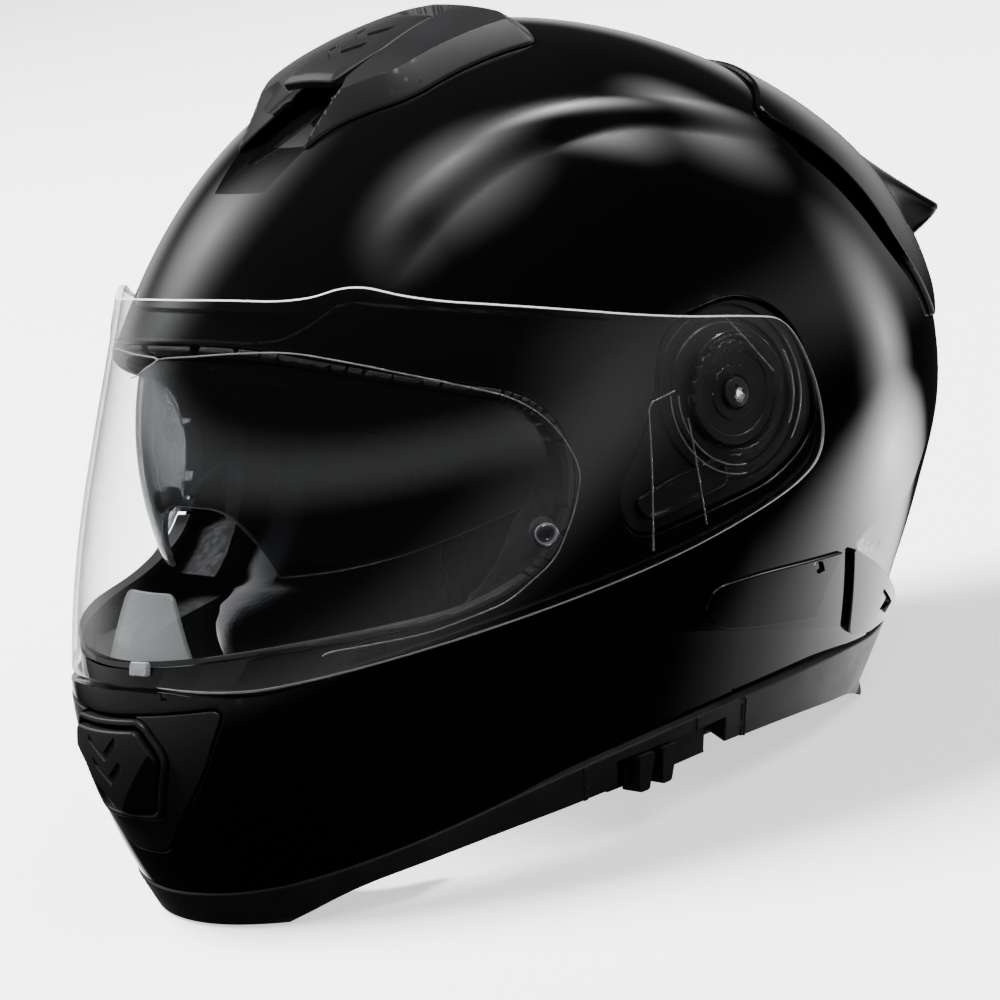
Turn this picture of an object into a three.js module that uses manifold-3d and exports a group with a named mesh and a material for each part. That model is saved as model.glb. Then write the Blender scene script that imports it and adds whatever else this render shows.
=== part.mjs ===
// Full-face road helmet with a flip-up face shield and a drop-down sun visor.
// Millimetres. +X is the wearer's left, -Y is the front, +Z is up.
// All shapes are drawn round the shield's pivot axis (the X axis of the inner group),
// and the group is then lifted so that the lower rim stands on z = 0.
import * as THREE from 'three';
import { mergeVertices } from 'three/addons/utils/BufferGeometryUtils.js';
import Module from 'manifold-3d';

const wasm = await Module();
wasm.setup();

// ---------------------------------------------------------------- driving dimensions
const RIM_Z = -135;            // lowest level, front and rear
const MID_Y = -14.2;           // middle of the overall length, seen from the pivot axis
const SHELL_WALL = 4;
const FIT = 0.4;               // clearance between touching pieces
const SHIELD_WALL = 2.2;
const SHIELD_PIVOT_X = 128.3;  // inner face of the shield's arms at the pivot
const SUN_WALL = 2;
const SUN_PIVOT_X = 110;       // inner face of the sun visor's arms at the pivot
const SUN_REACH = 115;         // radius of the sun visor's sweep
const SUN_PIVOT = { y: -22, z: -8 };
const AROUND = 36;             // facets round the shell
const UP = 12;                 // facets from the rim to the crown

// Shell curves, as control points of smooth splines, from the rim to the crown.
const FRONT = [[-177, -135], [-187, -108], [-192, -77], [-189, -46], [-178, -15], [-161, 18],
  [-138, 50], [-110, 82], [-74, 109], [-30, 126], [11, 130]];
const REAR = [[90, -135], [111, -107], [131, -79], [148, -49], [157, -18], [156, 14],
  [144, 46], [118, 76], [81, 104], [42, 124], [11, 130]];
const SIDE = [[103, -123, -24], [113, -101, -18], [121, -73, -10], [126, -43, -2], [127, -14, 1],
  [125, 16, 3], [117, 50, 5], [101, 83, 7], [76, 111, 9], [41, 125, 10], [0, 130, 11]];
const FRONT_SQUARENESS = [2.05, 1.95, 1.9, 1.9, 1.9, 1.95, 1.95, 2, 2, 2, 2];
const REAR_SQUARENESS = [2.4, 2.4, 2.4, 2.4, 2.4, 2.35, 2.3, 2.2, 2.1, 2, 2];

// ---------------------------------------------------------------- materials
function finish(color, roughness, metalness = 0, opacity = 1) {
  return new THREE.MeshStandardMaterial({
    color, roughness, metalness, opacity, transparent: opacity < 1,
  });
}
const GLOSS_BLACK = finish(0x060607, 0.08);
const SATIN_BLACK = finish(0x101011, 0.4);
const MATT_BLACK = finish(0x161617, 0.7);
const RUBBER = finish(0x19191a, 0.8);
const CLEAR = finish(0xf2f5f8, 0.03, 0, 0.2);
const SMOKE = finish(0x33373c, 0.08, 0, 0.6);
const FROSTED = finish(0x8b9090, 0.4, 0, 0.6);
const FOAM = finish(0x202022, 0.95);
const FABRIC = finish(0x1a1a1c, 0.95);
const WEBBING = finish(0x131314, 0.85);
const STEEL = finish(0x9a9c9f, 0.3, 1);
const GREY_MESH = finish(0x777a7c, 0.6);

// ---------------------------------------------------------------- solids
function toSolid(geometry) {
  const plain = geometry.clone();
  plain.deleteAttribute('normal');
  plain.deleteAttribute('uv');
  const merged = mergeVertices(plain, 1e-4);
  return new wasm.Manifold(new wasm.Mesh({
    numProp: 3,
    vertProperties: new Float32Array(merged.attributes.position.array),
    triVerts: new Uint32Array(merged.index.array),
  }));
}

function toGeometry(solid) {
  const mesh = solid.getMesh();
  const geometry = new THREE.BufferGeometry();
  geometry.setAttribute('position', new THREE.BufferAttribute(new Float32Array(mesh.vertProperties), 3));
  geometry.setIndex(new THREE.BufferAttribute(new Uint32Array(mesh.triVerts), 1));
  geometry.computeVertexNormals();
  return geometry;
}

// The largest piece of a solid, for a cut that leaves crumbs.
function largest(solid) {
  return solid.decompose().sort((a, b) => b.volume() - a.volume())[0];
}

function mirrored(geometry) {
  const other = geometry.clone();
  other.scale(-1, 1, 1);
  const index = other.index.array;
  for (let i = 0; i < index.length; i += 3) {
    [index[i], index[i + 1]] = [index[i + 1], index[i]];
  }
  return other;
}

// A closed outline. Each corner is [a, b] or [a, b, radius of its rounding].
function outline(corners) {
  const shape = new THREE.Shape();
  const count = corners.length;
  const corner = (i) => new THREE.Vector2(...corners[(i + count) % count].slice(0, 2));
  for (let i = 0; i < count; i += 1) {
    const here = corner(i);
    const radius = corners[i][2] ?? 0;
    const toward = (other) => {
      const reach = Math.min(radius, here.distanceTo(other) * 0.48);
      return here.clone().add(other.clone().sub(here).setLength(reach));
    };
    const start = radius > 0 ? toward(corner(i - 1)) : here;
    if (i === 0) shape.moveTo(start.x, start.y);
    else shape.lineTo(start.x, start.y);
    if (radius > 0) {
      const end = toward(corner(i + 1));
      shape.quadraticCurveTo(here.x, here.y, end.x, end.y);
    }
  }
  shape.closePath();
  return shape;
}

function extrude(shape, depth, segments = 3) {
  return new THREE.ExtrudeGeometry(shape, { depth, bevelEnabled: false, curveSegments: segments });
}

// Prism of an outline drawn in (y, z), from x0 to x1.
function alongX(shape, x0, x1, segments) {
  const geometry = extrude(shape, x1 - x0, segments);
  geometry.applyMatrix4(new THREE.Matrix4().set(0, 0, 1, x0, 1, 0, 0, 0, 0, 1, 0, 0, 0, 0, 0, 1));
  return toSolid(geometry);
}

// Prism of an outline drawn in (x, z), from y0 to y1.
function alongY(shape, y0, y1, segments) {
  const geometry = extrude(shape, y1 - y0, segments);
  geometry.applyMatrix4(new THREE.Matrix4().set(1, 0, 0, 0, 0, 0, -1, y1, 0, 1, 0, 0, 0, 0, 0, 1));
  return toSolid(geometry);
}

// Prism of an outline drawn in (x, y), from z0 to z1.
function alongZ(shape, z0, z1, segments) {
  const geometry = extrude(shape, z1 - z0, segments);
  geometry.translate(0, 0, z0);
  return toSolid(geometry);
}

function box(x0, x1, y0, y1, z0, z1) {
  const geometry = new THREE.BoxGeometry(x1 - x0, y1 - y0, z1 - z0);
  geometry.translate((x0 + x1) / 2, (y0 + y1) / 2, (z0 + z1) / 2);
  return toSolid(geometry);
}

// A cylinder from one point towards a direction.
function rod(radius, start, direction, length, sides = 20) {
  const geometry = new THREE.CylinderGeometry(radius, radius, length, sides);
  geometry.translate(0, length / 2, 0);
  const axis = new THREE.Vector3(...direction).normalize();
  const turn = new THREE.Quaternion().setFromUnitVectors(new THREE.Vector3(0, 1, 0), axis);
  geometry.applyQuaternion(turn);
  geometry.translate(...start);
  return toSolid(geometry);
}

// Closed solid through rings of points, lowest ring first, with a point at each end.
function loft(rings, foot, head) {
  const positions = [];
  const index = [];
  const around = rings[0].length;
  rings.forEach((ring) => ring.forEach((point) => positions.push(point.x, point.y, point.z)));
  for (let row = 0; row < rings.length - 1; row += 1) {
    for (let k = 0; k < around; k += 1) {
      const a = row * around + k;
      const b = row * around + ((k + 1) % around);
      index.push(a, b, b + around, a, b + around, a + around);
    }
  }
  const footIndex = positions.length / 3;
  positions.push(foot.x, foot.y, foot.z, head.x, head.y, head.z);
  const last = (rings.length - 1) * around;
  for (let k = 0; k < around; k += 1) {
    const next = (k + 1) % around;
    index.push(footIndex, next, k, footIndex + 1, last + k, last + next);
  }
  const geometry = new THREE.BufferGeometry();
  geometry.setAttribute('position', new THREE.Float32BufferAttribute(positions, 3));
  geometry.setIndex(index);
  return toSolid(geometry);
}

// ---------------------------------------------------------------- shell surface
function extended(points, atCrown) {
  const first = points[0].map((value, i) => 2 * value - points[1][i]);
  const [last, before] = [points.at(-1), points.at(-2)];
  return [first, ...points, atCrown(last, before)];
}
const acrossCrown = (last, before) => [2 * last[0] - before[0], before[1]];
const CURVES = {
  front: extended(FRONT, acrossCrown),
  rear: extended(REAR, acrossCrown),
  side: extended(SIDE, (last, before) => [-before[0], before[1], before[2]]),
  frontSquareness: extended(FRONT_SQUARENESS.map((n) => [n]), (last, before) => before),
  rearSquareness: extended(REAR_SQUARENESS.map((n) => [n]), (last, before) => before),
};

// Uniform cubic B-spline, t from 0 at the rim to 1 at the crown.
function splineAt(points, t) {
  const spans = points.length - 3;
  const u = Math.min(Math.max(t, 0), 1) * spans;
  const i = Math.min(Math.floor(u), spans - 1);
  const f = u - i;
  const weights = [
    (1 - f) ** 3, 3 * f ** 3 - 6 * f ** 2 + 4, -3 * f ** 3 + 3 * f ** 2 + 3 * f + 1, f ** 3,
  ];
  const mixed = (axis) => weights.reduce((sum, w, k) => sum + (w * points[i + k][axis]) / 6, 0);
  return points[i].map((_, axis) => mixed(axis));
}

// Angle is 0 at the front and a quarter turn at the wearer's left.
function shellPoint(angle, t) {
  const c = Math.cos(angle);
  const s = Math.sin(angle);
  const [endY, endZ] = splineAt(c > 0 ? CURVES.front : CURVES.rear, t);
  const [halfWidth, sideZ, sideY] = splineAt(CURVES.side, t);
  const [n] = splineAt(c > 0 ? CURVES.frontSquareness : CURVES.rearSquareness, t);
  return new THREE.Vector3(
    halfWidth * Math.sign(s) * Math.abs(s) ** (2 / n),
    sideY + (endY - sideY) * Math.abs(c) ** (2 / n),
    sideZ + (endZ - sideZ) * c * c,
  );
}

function shellNormal(angle, t) {
  const d = 1e-3;
  const top = Math.min(t, 0.97);
  const across = shellPoint(angle + d, top).sub(shellPoint(angle - d, top));
  const up = shellPoint(angle, top + d).sub(shellPoint(angle, Math.max(top - d, 0)));
  const normal = across.cross(up).normalize();
  return t > 0.97 ? normal.lerp(new THREE.Vector3(0, 0, 1), (t - 0.97) / 0.03).normalize() : normal;
}

// Closed solid inside the shell surface moved out by `offset` (negative is inwards).
const offsetSolids = new Map();
function within(offset) {
  if (!offsetSolids.has(offset)) {
    const rings = [];
    const angles = Array.from({ length: AROUND }, (_, k) => (k / AROUND) * Math.PI * 2);
    for (let row = 0; row < UP; row += 1) {
      const t = row / UP;
      rings.push(angles.map((a) => shellPoint(a, t).addScaledVector(shellNormal(a, t), offset)));
    }
    const skirt = rings[0].map((point) => point.clone().setZ(RIM_Z - 25));
    const crown = shellPoint(0, 1);
    crown.z += offset;
    offsetSolids.set(offset, loft([skirt, ...rings], new THREE.Vector3(0, 0, RIM_Z - 25), crown));
  }
  return offsetSolids.get(offset);
}

function band(inner, outer) {
  return within(outer).subtract(within(inner));
}

// The same form drawn in towards the middle of the head, for the lining's inner faces.
const HEAD_CENTRE = new THREE.Vector3(0, -18, -35);
function headForm(wide, long, high) {
  const scale = new THREE.Vector3(wide, long, high);
  const rings = [];
  const steps = 9;
  const around = 24;
  for (let row = 0; row < steps; row += 1) {
    const ring = [];
    for (let k = 0; k < around; k += 1) {
      const point = shellPoint((k / around) * Math.PI * 2, row / steps);
      ring.push(point.sub(HEAD_CENTRE).multiply(scale).add(HEAD_CENTRE));
    }
    rings.push(ring);
  }
  const skirt = rings[0].map((point) => point.clone().setZ(RIM_Z - 25));
  const crown = shellPoint(0, 1).sub(HEAD_CENTRE).multiply(scale).add(HEAD_CENTRE);
  return loft([skirt, ...rings], new THREE.Vector3(0, 0, RIM_Z - 25), crown);
}

// ---------------------------------------------------------------- swinging surfaces
// A surface that swings freely about the pivot axis: an ellipse from one pivot to the other,
// whose reach from the axis depends on the direction as level + slope s + bend s^2,
// where s is the sine of the height angle.
function swingSolid(pivotX, reach, facetsAcross, facetsRound, centre = { y: 0, z: 0 }) {
  const rings = [];
  for (let row = 1; row < facetsAcross; row += 1) {
    const a = (row / facetsAcross - 0.5) * Math.PI;
    const ring = [];
    for (let k = 0; k < facetsRound; k += 1) {
      const turn = (k / facetsRound) * Math.PI * 2;
      const r = reach(Math.sin(turn)) * Math.cos(a);
      ring.push(new THREE.Vector3(
        pivotX * Math.sin(a), centre.y + r * Math.cos(turn), centre.z + r * Math.sin(turn),
      ));
    }
    rings.push(ring);
  }
  return loft(
    rings,
    new THREE.Vector3(-pivotX, centre.y, centre.z),
    new THREE.Vector3(pivotX, centre.y, centre.z),
  );
}
const shieldReach = (s) => 161.5 - 78.5 * s + 85 * s * s;
const shieldForm = (offset) => swingSolid(SHIELD_PIVOT_X + offset, (s) => shieldReach(s) + offset, 18, 24);
const sunForm = (offset) => (
  swingSolid(SUN_PIVOT_X + offset, () => SUN_REACH + offset, 14, 20, SUN_PIVOT)
);

const WIDE = 150;              // beyond the helmet's half width
const FAR = 240;               // beyond the helmet's front

// Edge of the face shield, seen from the side.
function shieldOutline(grow = 0) {
  const g = grow;
  return outline([
    [-FAR, -46 - g], [-187, -46 - g], [-170, -52.5 - g, 10], [-117, -48.5 - g, 30], [-30, -44 - g, 30],
    [15, -38 - g, 18], [32 + g, -30 - g, 14], [35 + g, -6, 20], [29 + g, 17 + g, 12],
    [12, 23 + g, 12], [-21, 32.5 + g, 30], [-64, 49 + g, 30], [-88, 58 + g, 12], [-100, 67 + g, 6],
    [-112, 64 + g, 8], [-126, 69 + g, 8], [-150, 73 + g], [-FAR, 73 + g],
  ]);
}

// Edge of the opening in front of the face, seen from the side.
function eyePortOutline(grow = 0) {
  const g = grow;
  return outline([
    [-FAR, -41 - g], [-160, -41 - g, 10], [-104, -43 - g, 16], [-76, -34 - g, 16], [-61 + g, -6, 16],
    [-66 + g, 20 + g, 14], [-99, 35 + g, 20], [-133, 57 + g, 10], [-FAR, 57 + g],
  ]);
}

const eyePort = (grow) => alongX(eyePortOutline(grow), -WIDE, WIDE);

// ---------------------------------------------------------------- outer shell
// Level of the shell's lower edge along its side, where the rubber trim begins.
function belowShellEdge(gap) {
  return alongX(outline([
    [-FAR, RIM_Z - 40], [FAR, RIM_Z - 40], [FAR, -110 - gap], [72, -110 - gap, 30],
    [30, -104 - gap, 30],
    [-30, -102 - gap, 40], [-90, -105 - gap, 30], [-140, -115 - gap, 30], [-172, -121 - gap, 10],
    [-FAR, -121 - gap],
  ]), -WIDE, WIDE);
}

// Pockets on both sides for the shield's base plates, seen from the side.
function pocketOutline(grow = 0) {
  const g = grow;
  return outline([
    [-20, 29 + g, 14], [16, 31 + g, 14], [34.5 + g, 14, 14], [34.5 + g, -20, 14], [12, -33 - g, 14],
    [-50 - g, -36 - g, 10], [-53 - g, -20, 10], [-30 - g, 6, 12],
  ]);
}
const POCKET_DEPTH = 4.5;
const POCKET_FLOOR = 3;

// Ledge of the chin that the shield's lower edge closes over.
const LAND = 2.2;
function aboveLand(grow, gap) {
  const g = grow;
  const strip = outline([
    [-FAR, -30], [-112, -30], [-112, -49 - g], [-168, -54 - g, 8], [-187, -47.5 - g], [-FAR, -47.5 - g],
  ]);
  return alongX(strip, -WIDE, WIDE).subtract(shieldForm(-gap));
}

// Shallow bed for the chin panel, drawn from the front.
function chinPanelOutline(grow = 0) {
  const g = grow;
  return outline([
    [-48 - g, -56 + g, 5], [-37 - g, -78 - g, 8], [-12, -105 - g, 6], [12, -105 - g, 6],
    [37 + g, -78 - g, 8], [48 + g, -56 + g, 5],
  ]);
}
const CHIN_BED = 2.2;

function chinVentOutline(grow = 0) {
  const g = grow;
  return outline([
    [-19 - g, -57 + g, 4], [-27 - g, -70, 5], [-17 - g, -92 - g, 5],
    [17 + g, -92 - g, 5], [27 + g, -70, 5], [19 + g, -57 + g, 4],
  ]);
}

const TOP_VENT_HOLE = [[-15, -40, 3], [15, -40, 3], [13, -14, 3], [-13, -14, 3]];
const EXHAUST_HOLE = [[-26, 22, 4], [-30, 8, 4], [30, 8, 4], [26, 22, 4]];

function shellOuter() {
  return within(0).subtract(aboveLand(0, LAND));
}

function shellInner(wall) {
  return within(-wall).subtract(aboveLand(wall, LAND + wall));
}

function makeShell() {
  const pocket = alongX(pocketOutline(), -WIDE, WIDE);
  const pocketBack = alongX(pocketOutline(POCKET_FLOOR), -WIDE, WIDE);
  const floor = band(-POCKET_DEPTH - POCKET_FLOOR, -POCKET_DEPTH).intersect(pocketBack);
  let shell = shellOuter().subtract(shellInner(SHELL_WALL));
  shell = shell.subtract(pocket.subtract(within(-POCKET_DEPTH))).add(floor);
  shell = shell.subtract(eyePort(0));
  shell = shell.subtract(belowShellEdge(0));
  const chinBed = alongY(chinPanelOutline(FIT), -FAR, -120).subtract(within(-CHIN_BED));
  const chinHole = alongY(chinVentOutline(-2.4), -FAR, -120);
  const topHole = alongZ(outline(TOP_VENT_HOLE), 60, 160);
  const exhaust = alongY(outline(EXHAUST_HOLE), 100, 200);
  const holes = [chinBed, chinHole, topHole, exhaust];
  return largest(holes.reduce((rest, hole) => rest.subtract(hole), shell));
}

// ---------------------------------------------------------------- lining
// Beyond this, the sun visor and its arms need the room.
function sunVisorRoom() {
  const sector = outline([
    [-FAR, -52], [-60, -34, 10], [-22, -26, 10], [-6, -12, 8], [-6, 8, 8], [-16, 40], [-16, 170],
    [-FAR, 170],
  ]);
  return alongX(sector, -WIDE, WIDE).subtract(sunForm(-2.4));
}

// Slots beside the neck for the chin strap's anchors.
function strapRoom() {
  const shape = outline([[-18, -140], [18, -140], [18, -74, 6], [-18, -74, 6]]);
  return alongX(shape, 86, WIDE).add(alongX(shape, -WIDE, -86));
}

const CHIN_LINE = outline([[-FAR, -140], [-78, -140], [-78, -46], [-FAR, -46]]);

function makeEpsLiner() {
  let eps = shellInner(SHELL_WALL + FIT).subtract(headForm(0.78, 0.8, 0.79));
  eps = eps.subtract(alongX(pocketOutline(5), -WIDE, WIDE).subtract(within(-8)));
  eps = eps.subtract(sunVisorRoom());
  eps = eps.subtract(eyePort(7));
  eps = eps.subtract(alongX(CHIN_LINE, -WIDE, WIDE)).subtract(strapRoom());
  eps = eps.subtract(box(-WIDE, WIDE, -FAR, FAR, RIM_Z - 40, -100));
  const bushRoom = rod(6, [106.8, SUN_PIVOT.y, SUN_PIVOT.z], [1, 0, 0], 12, 16);
  eps = eps.subtract(bothSides(bushRoom));
  const topDuct = alongZ(outline([[-14, -42, 3], [14, -42, 3], [14, 60, 8], [-14, 60, 8]]), 104, 160);
  return largest(eps.subtract(topDuct));
}

function makeChinEps() {
  const side = outline([[-FAR, -117], [-80, -100], [-80, -56], [-150, -52], [-FAR, -52]]);
  const room = alongX(side, -WIDE, WIDE);
  const ventDuct = alongY(chinVentOutline(-4), -FAR, -120);
  const eps = shellInner(SHELL_WALL + FIT).subtract(headForm(0.8, 0.87, 0.9)).intersect(room);
  return largest(eps.subtract(ventDuct));
}

function makeCrownPad() {
  const pad = headForm(0.77, 0.79, 0.78).subtract(headForm(0.7, 0.73, 0.715));
  const side = outline([
    [-FAR, 32], [-100, 30, 10], [0, 8, 30], [FAR, -4], [FAR, 160], [-FAR, 160],
  ]);
  return largest(pad.intersect(alongX(side, -WIDE, WIDE)));
}

function makeCheekPad() {
  const face = alongX(outline([
    [-112, -60, 12], [-96, -97, 16], [-20, -103, 16], [6, -80, 14], [4, -20, 16], [-40, -6, 20],
    [-72, -40, 14],
  ]), 52, 120);
  return largest(headForm(0.77, 0.79, 0.78).intersect(face).subtract(headForm(0.52, 0.75, 0.9)));
}

function makeNeckRoll() {
  const room = alongX(outline([[22, -116, 6], [FAR, -116], [FAR, -84], [22, -84, 6]]), -WIDE, WIDE);
  return largest(headForm(0.77, 0.79, 0.78).subtract(headForm(0.66, 0.66, 0.8)).intersect(room));
}

// Rubber seal that lines the cut edge of the eye port and stands a little proud of the shell.
function makeGasket() {
  const face = within(1.4).subtract(aboveLand(1.5, 0.8));
  const ring = eyePort(-FIT).subtract(eyePort(-2.4));
  const seal = face.subtract(shellInner(SHELL_WALL + 1)).intersect(ring);
  return largest(seal.intersect(shieldForm(-0.5)));
}

function makeLowerTrim() {
  const side = belowShellEdge(FIT);
  const arch = alongX(outline([
    [-166, RIM_Z - 30], [-166, RIM_Z], [-150, -125, 12], [-112, -119, 20], [-40, -116, 30],
    [10, -119, 30], [50, -127, 10], [66, RIM_Z], [66, RIM_Z - 30],
  ]), -WIDE, WIDE);
  const floor = box(-WIDE, WIDE, -FAR, FAR, RIM_Z - 60, RIM_Z);
  const trim = band(-10, 1).intersect(side);
  return largest(trim.subtract(floor).subtract(arch).subtract(leverSlot()));
}

// Gap in the left side of the trim for the sun visor's lever.
function leverSlot() {
  return alongX(outline([[-66, -140], [-22, -140], [-22, -108], [-66, -108]]), 60, WIDE);
}

// ---------------------------------------------------------------- face shield
const PIN_Y = -80;
const PIN_Z = -23;

// Point on the shield's inner face beside (y, z).
function shieldX(y, z, offset = 0) {
  const r = Math.hypot(y, z);
  return (SHIELD_PIVOT_X + offset) * Math.sqrt(1 - (r / (shieldReach(z / r) + offset)) ** 2);
}

function pinAxis() {
  const x = shieldX(PIN_Y, PIN_Z);
  const reach = shieldReach(PIN_Z / Math.hypot(PIN_Y, PIN_Z));
  const slope = new THREE.Vector3(x / SHIELD_PIVOT_X ** 2, PIN_Y / reach ** 2, PIN_Z / reach ** 2);
  return { point: new THREE.Vector3(x, PIN_Y, PIN_Z), direction: slope.normalize() };
}

function bothSides(solid) {
  return solid.add(toSolid(mirrored(toGeometry(solid))));
}

function pinRod(radius, from, to) {
  const { point, direction } = pinAxis();
  const start = point.clone().addScaledVector(direction, from);
  return rod(radius, start.toArray(), direction.toArray(), to - from, 14);
}

function makeShield() {
  const sheet = shieldForm(SHIELD_WALL).subtract(shieldForm(0));
  let shield = sheet.intersect(alongX(shieldOutline(), -WIDE, WIDE));
  shield = shield.subtract(bothSides(pinRod(2.9, -5, 10)));
  const hub = rod(21, [125.6, 0, 0], [1, 0, 0], 4, 28).subtract(rod(18.6, [120, 0, 0], [1, 0, 0], 12, 28));
  return largest(shield.add(bothSides(hub.intersect(shieldForm(1)))));
}

function makeAntifogPin() {
  return pinRod(2.5, -3.8, SHIELD_WALL + 0.6)
    .add(pinRod(4.6, -3.8, -1.8))
    .add(pinRod(4.2, SHIELD_WALL + 0.5, SHIELD_WALL + 1.5));
}

function makeLockTab() {
  const frame = alongY(outline([[10, -45, 1], [26, -45, 1], [26, -36, 1], [10, -36, 1]]), -FAR, -150);
  return largest(shieldForm(SHIELD_WALL + 2.2).subtract(shieldForm(SHIELD_WALL + FIT)).intersect(frame));
}

// ---------------------------------------------------------------- shield mechanism
function makeBasePlate() {
  const plate = band(-POCKET_DEPTH + FIT, -1.6).intersect(alongX(pocketOutline(-0.6), 60, WIDE));
  const seat = rod(22, [120.6, 0, 0], [1, 0, 0], 2.4, 32);
  const screwHole = rod(2.8, [100, 0, 0], [1, 0, 0], 40, 14);
  const leverHole = rod(2.2, [100, ...LEVER_PIVOT], [1, 0, 0], 40, 12);
  const camBed = rod(18.4, [123.1, 0, 0], [1, 0, 0], 6, 32);
  return largest(plate.add(seat).subtract(camBed).subtract(screwHole).subtract(leverHole));
}

const CAM_X0 = 123.4;
const CAM_X1 = 126.2;
function makeShieldCam() {
  let cam = rod(17.6, [CAM_X0, 0, 0], [1, 0, 0], CAM_X1 - CAM_X0, 32);
  const TEETH = 5;
  for (let k = 0; k < TEETH; k += 1) {
    const a = (0.2 + k * 0.16) * Math.PI;
    cam = cam.subtract(rod(1.5, [CAM_X0 - 1, 18 * Math.cos(a), 18 * Math.sin(a)], [1, 0, 0], 5, 8));
  }
  return cam.subtract(rod(2.8, [100, 0, 0], [1, 0, 0], 40, 14));
}

function makePivotScrew() {
  const head = rod(5, [CAM_X1 + FIT, 0, 0], [1, 0, 0], 1.3, 20);
  const slotA = box(CAM_X1 + 0.9, 130, -2.6, 2.6, -0.5, 0.5);
  const slotB = box(CAM_X1 + 0.9, 130, -0.5, 0.5, -2.6, 2.6);
  return head.add(rod(2.3, [121.2, 0, 0], [1, 0, 0], 6, 14)).subtract(slotA).subtract(slotB);
}

const LEVER_PIVOT = [-16, -24];
function makeReleaseLever() {
  const shape = outline([[-11, -18.5, 4], [-11, -28, 4], [-44, -31, 4], [-47, -22.5, 3], [-30, -19, 4]]);
  const lever = band(-0.9, 1.3).intersect(alongX(shape, 60, WIDE));
  return largest(lever.add(rod(1.8, [118.6, LEVER_PIVOT[0], LEVER_PIVOT[1]], [1, 0, 0], 4.4, 12)));
}

// ---------------------------------------------------------------- sun visor
function makeSunVisor() {
  const { y, z } = SUN_PIVOT;
  const edge = outline([
    [-FAR, -26], [-118, -26, 20], [-62, -14, 14], [y, z - 11, 10], [y + 11, z, 10], [y, z + 11, 10],
    [-70, 34, 10], [-86, 64, 10], [-FAR, 66],
  ]);
  let visor = sunForm(SUN_WALL).subtract(sunForm(0)).intersect(alongX(edge, -WIDE, WIDE));
  const nose = outline([[-33, -60], [-33, -19, 8], [-19, -1, 12], [19, -1, 12], [33, -19, 8], [33, -60]]);
  visor = visor.subtract(alongY(nose, -FAR, -60));
  return largest(visor.subtract(bothSides(rod(3, [100, y, z], [1, 0, 0], 20, 14))));
}

// Stepped bush that carries an arm of the sun visor on the shell.
function makeSunVisorBush() {
  const { y, z } = SUN_PIVOT;
  const pin = rod(2.6, [107.4, y, z], [1, 0, 0], 8.6, 14);
  const caps = rod(5.5, [107.4, y, z], [1, 0, 0], 1.8, 16).add(rod(5.5, [112.6, y, z], [1, 0, 0], 3.4, 16));
  return pin.add(caps);
}

const LEVER_LOW = -122;
function makeSunVisorLever() {
  const grip = (y) => outline([
    [y - 3, -108.6, 1], [y + 3, -108.6, 1], [y + 1, LEVER_LOW, 1], [y - 3, LEVER_LOW, 1],
  ]);
  const fins = band(-6, 2.8).intersect(alongX(grip(-56), 60, WIDE).add(alongX(grip(-47), 60, WIDE)));
  const footSide = outline([[-61, -108.6], [-42, -108.6], [-42, -118], [-61, -118]]);
  const foot = band(-6, -2.6).intersect(alongX(footSide, 60, WIDE));
  return largest(fins.add(foot).intersect(belowShellEdge(FIT)));
}

function makeLeverRail() {
  const rail = outline([[-64, -121], [-24, -121], [-24, -108.6], [-64, -108.6]]);
  return largest(band(-10, -7).intersect(alongX(rail, 60, WIDE)));
}

// ---------------------------------------------------------------- vents
function topVentPlan(grow = 0) {
  const g = grow;
  return outline([
    [-20 - g, -74 - g, 2], [-26 - g, -62, 4], [-44 - g, -42, 8], [-52 - g, 8 + g, 4], [-38, 15 + g, 4],
    [38, 15 + g, 4], [52 + g, 8 + g, 4], [44 + g, -42, 8], [26 + g, -62, 4], [20 + g, -74 - g, 2],
    [14, -52, 3], [-14, -52, 3],
  ]);
}
const VENT_CAP = [[-15, -50, 2], [15, -50, 2], [19, -30, 4], [14, -4, 3], [-14, -4, 3], [-19, -30, 4]];

function makeTopVent() {
  const body = band(FIT, 8).intersect(alongZ(topVentPlan(), 60, 180));
  const bayPlan = outline([
    [-19.6, -58], [19.6, -58], [19.6, -28, 3], [15, 4, 3], [-15, 4, 3], [-19.6, -28, 3],
  ]);
  const bay = alongZ(bayPlan, 60, 180).subtract(within(2.2));
  const throat = alongZ(outline([[-12, -60], [12, -60], [12, -18], [-12, -18]]), 60, 180);
  return largest(body.subtract(bay).subtract(throat));
}

function makeTopVentSlider() {
  const cap = band(4.6, 8.6).intersect(alongZ(outline(VENT_CAP), 60, 180));
  const chevrons = [-36, -24].map((y) => alongZ(outline([
    [-9, y + 8], [-9, y + 3], [0, y - 3], [9, y + 3], [9, y + 8], [0, y + 2],
  ]), 60, 180).subtract(within(7.4)));
  return largest(cap.subtract(chevrons[0]).subtract(chevrons[1]));
}

function makeTopVentMesh() {
  const plan = outline([[-17, -44], [17, -44], [17, -30], [-17, -30]]);
  let mesh = band(2.6, 3.8).intersect(alongZ(plan, 60, 180));
  for (let column = 0; column < 5; column += 1) {
    const x = -12.5 + column * 5.5;
    mesh = mesh.subtract(box(x, x + 3, -41, -33, 60, 180));
  }
  return largest(mesh);
}

function makeChinPanel() {
  const panel = band(-CHIN_BED + FIT, 0.4).intersect(alongY(chinPanelOutline(), -FAR, -120));
  return largest(panel.subtract(alongY(chinVentOutline(FIT), -FAR, -120)));
}

function makeChinVentFrame() {
  const frame = band(-CHIN_BED + FIT, 2.4).intersect(alongY(chinVentOutline(), -FAR, -120));
  return largest(frame.subtract(alongY(chinVentOutline(-2.2), -FAR, -120)));
}

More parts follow.
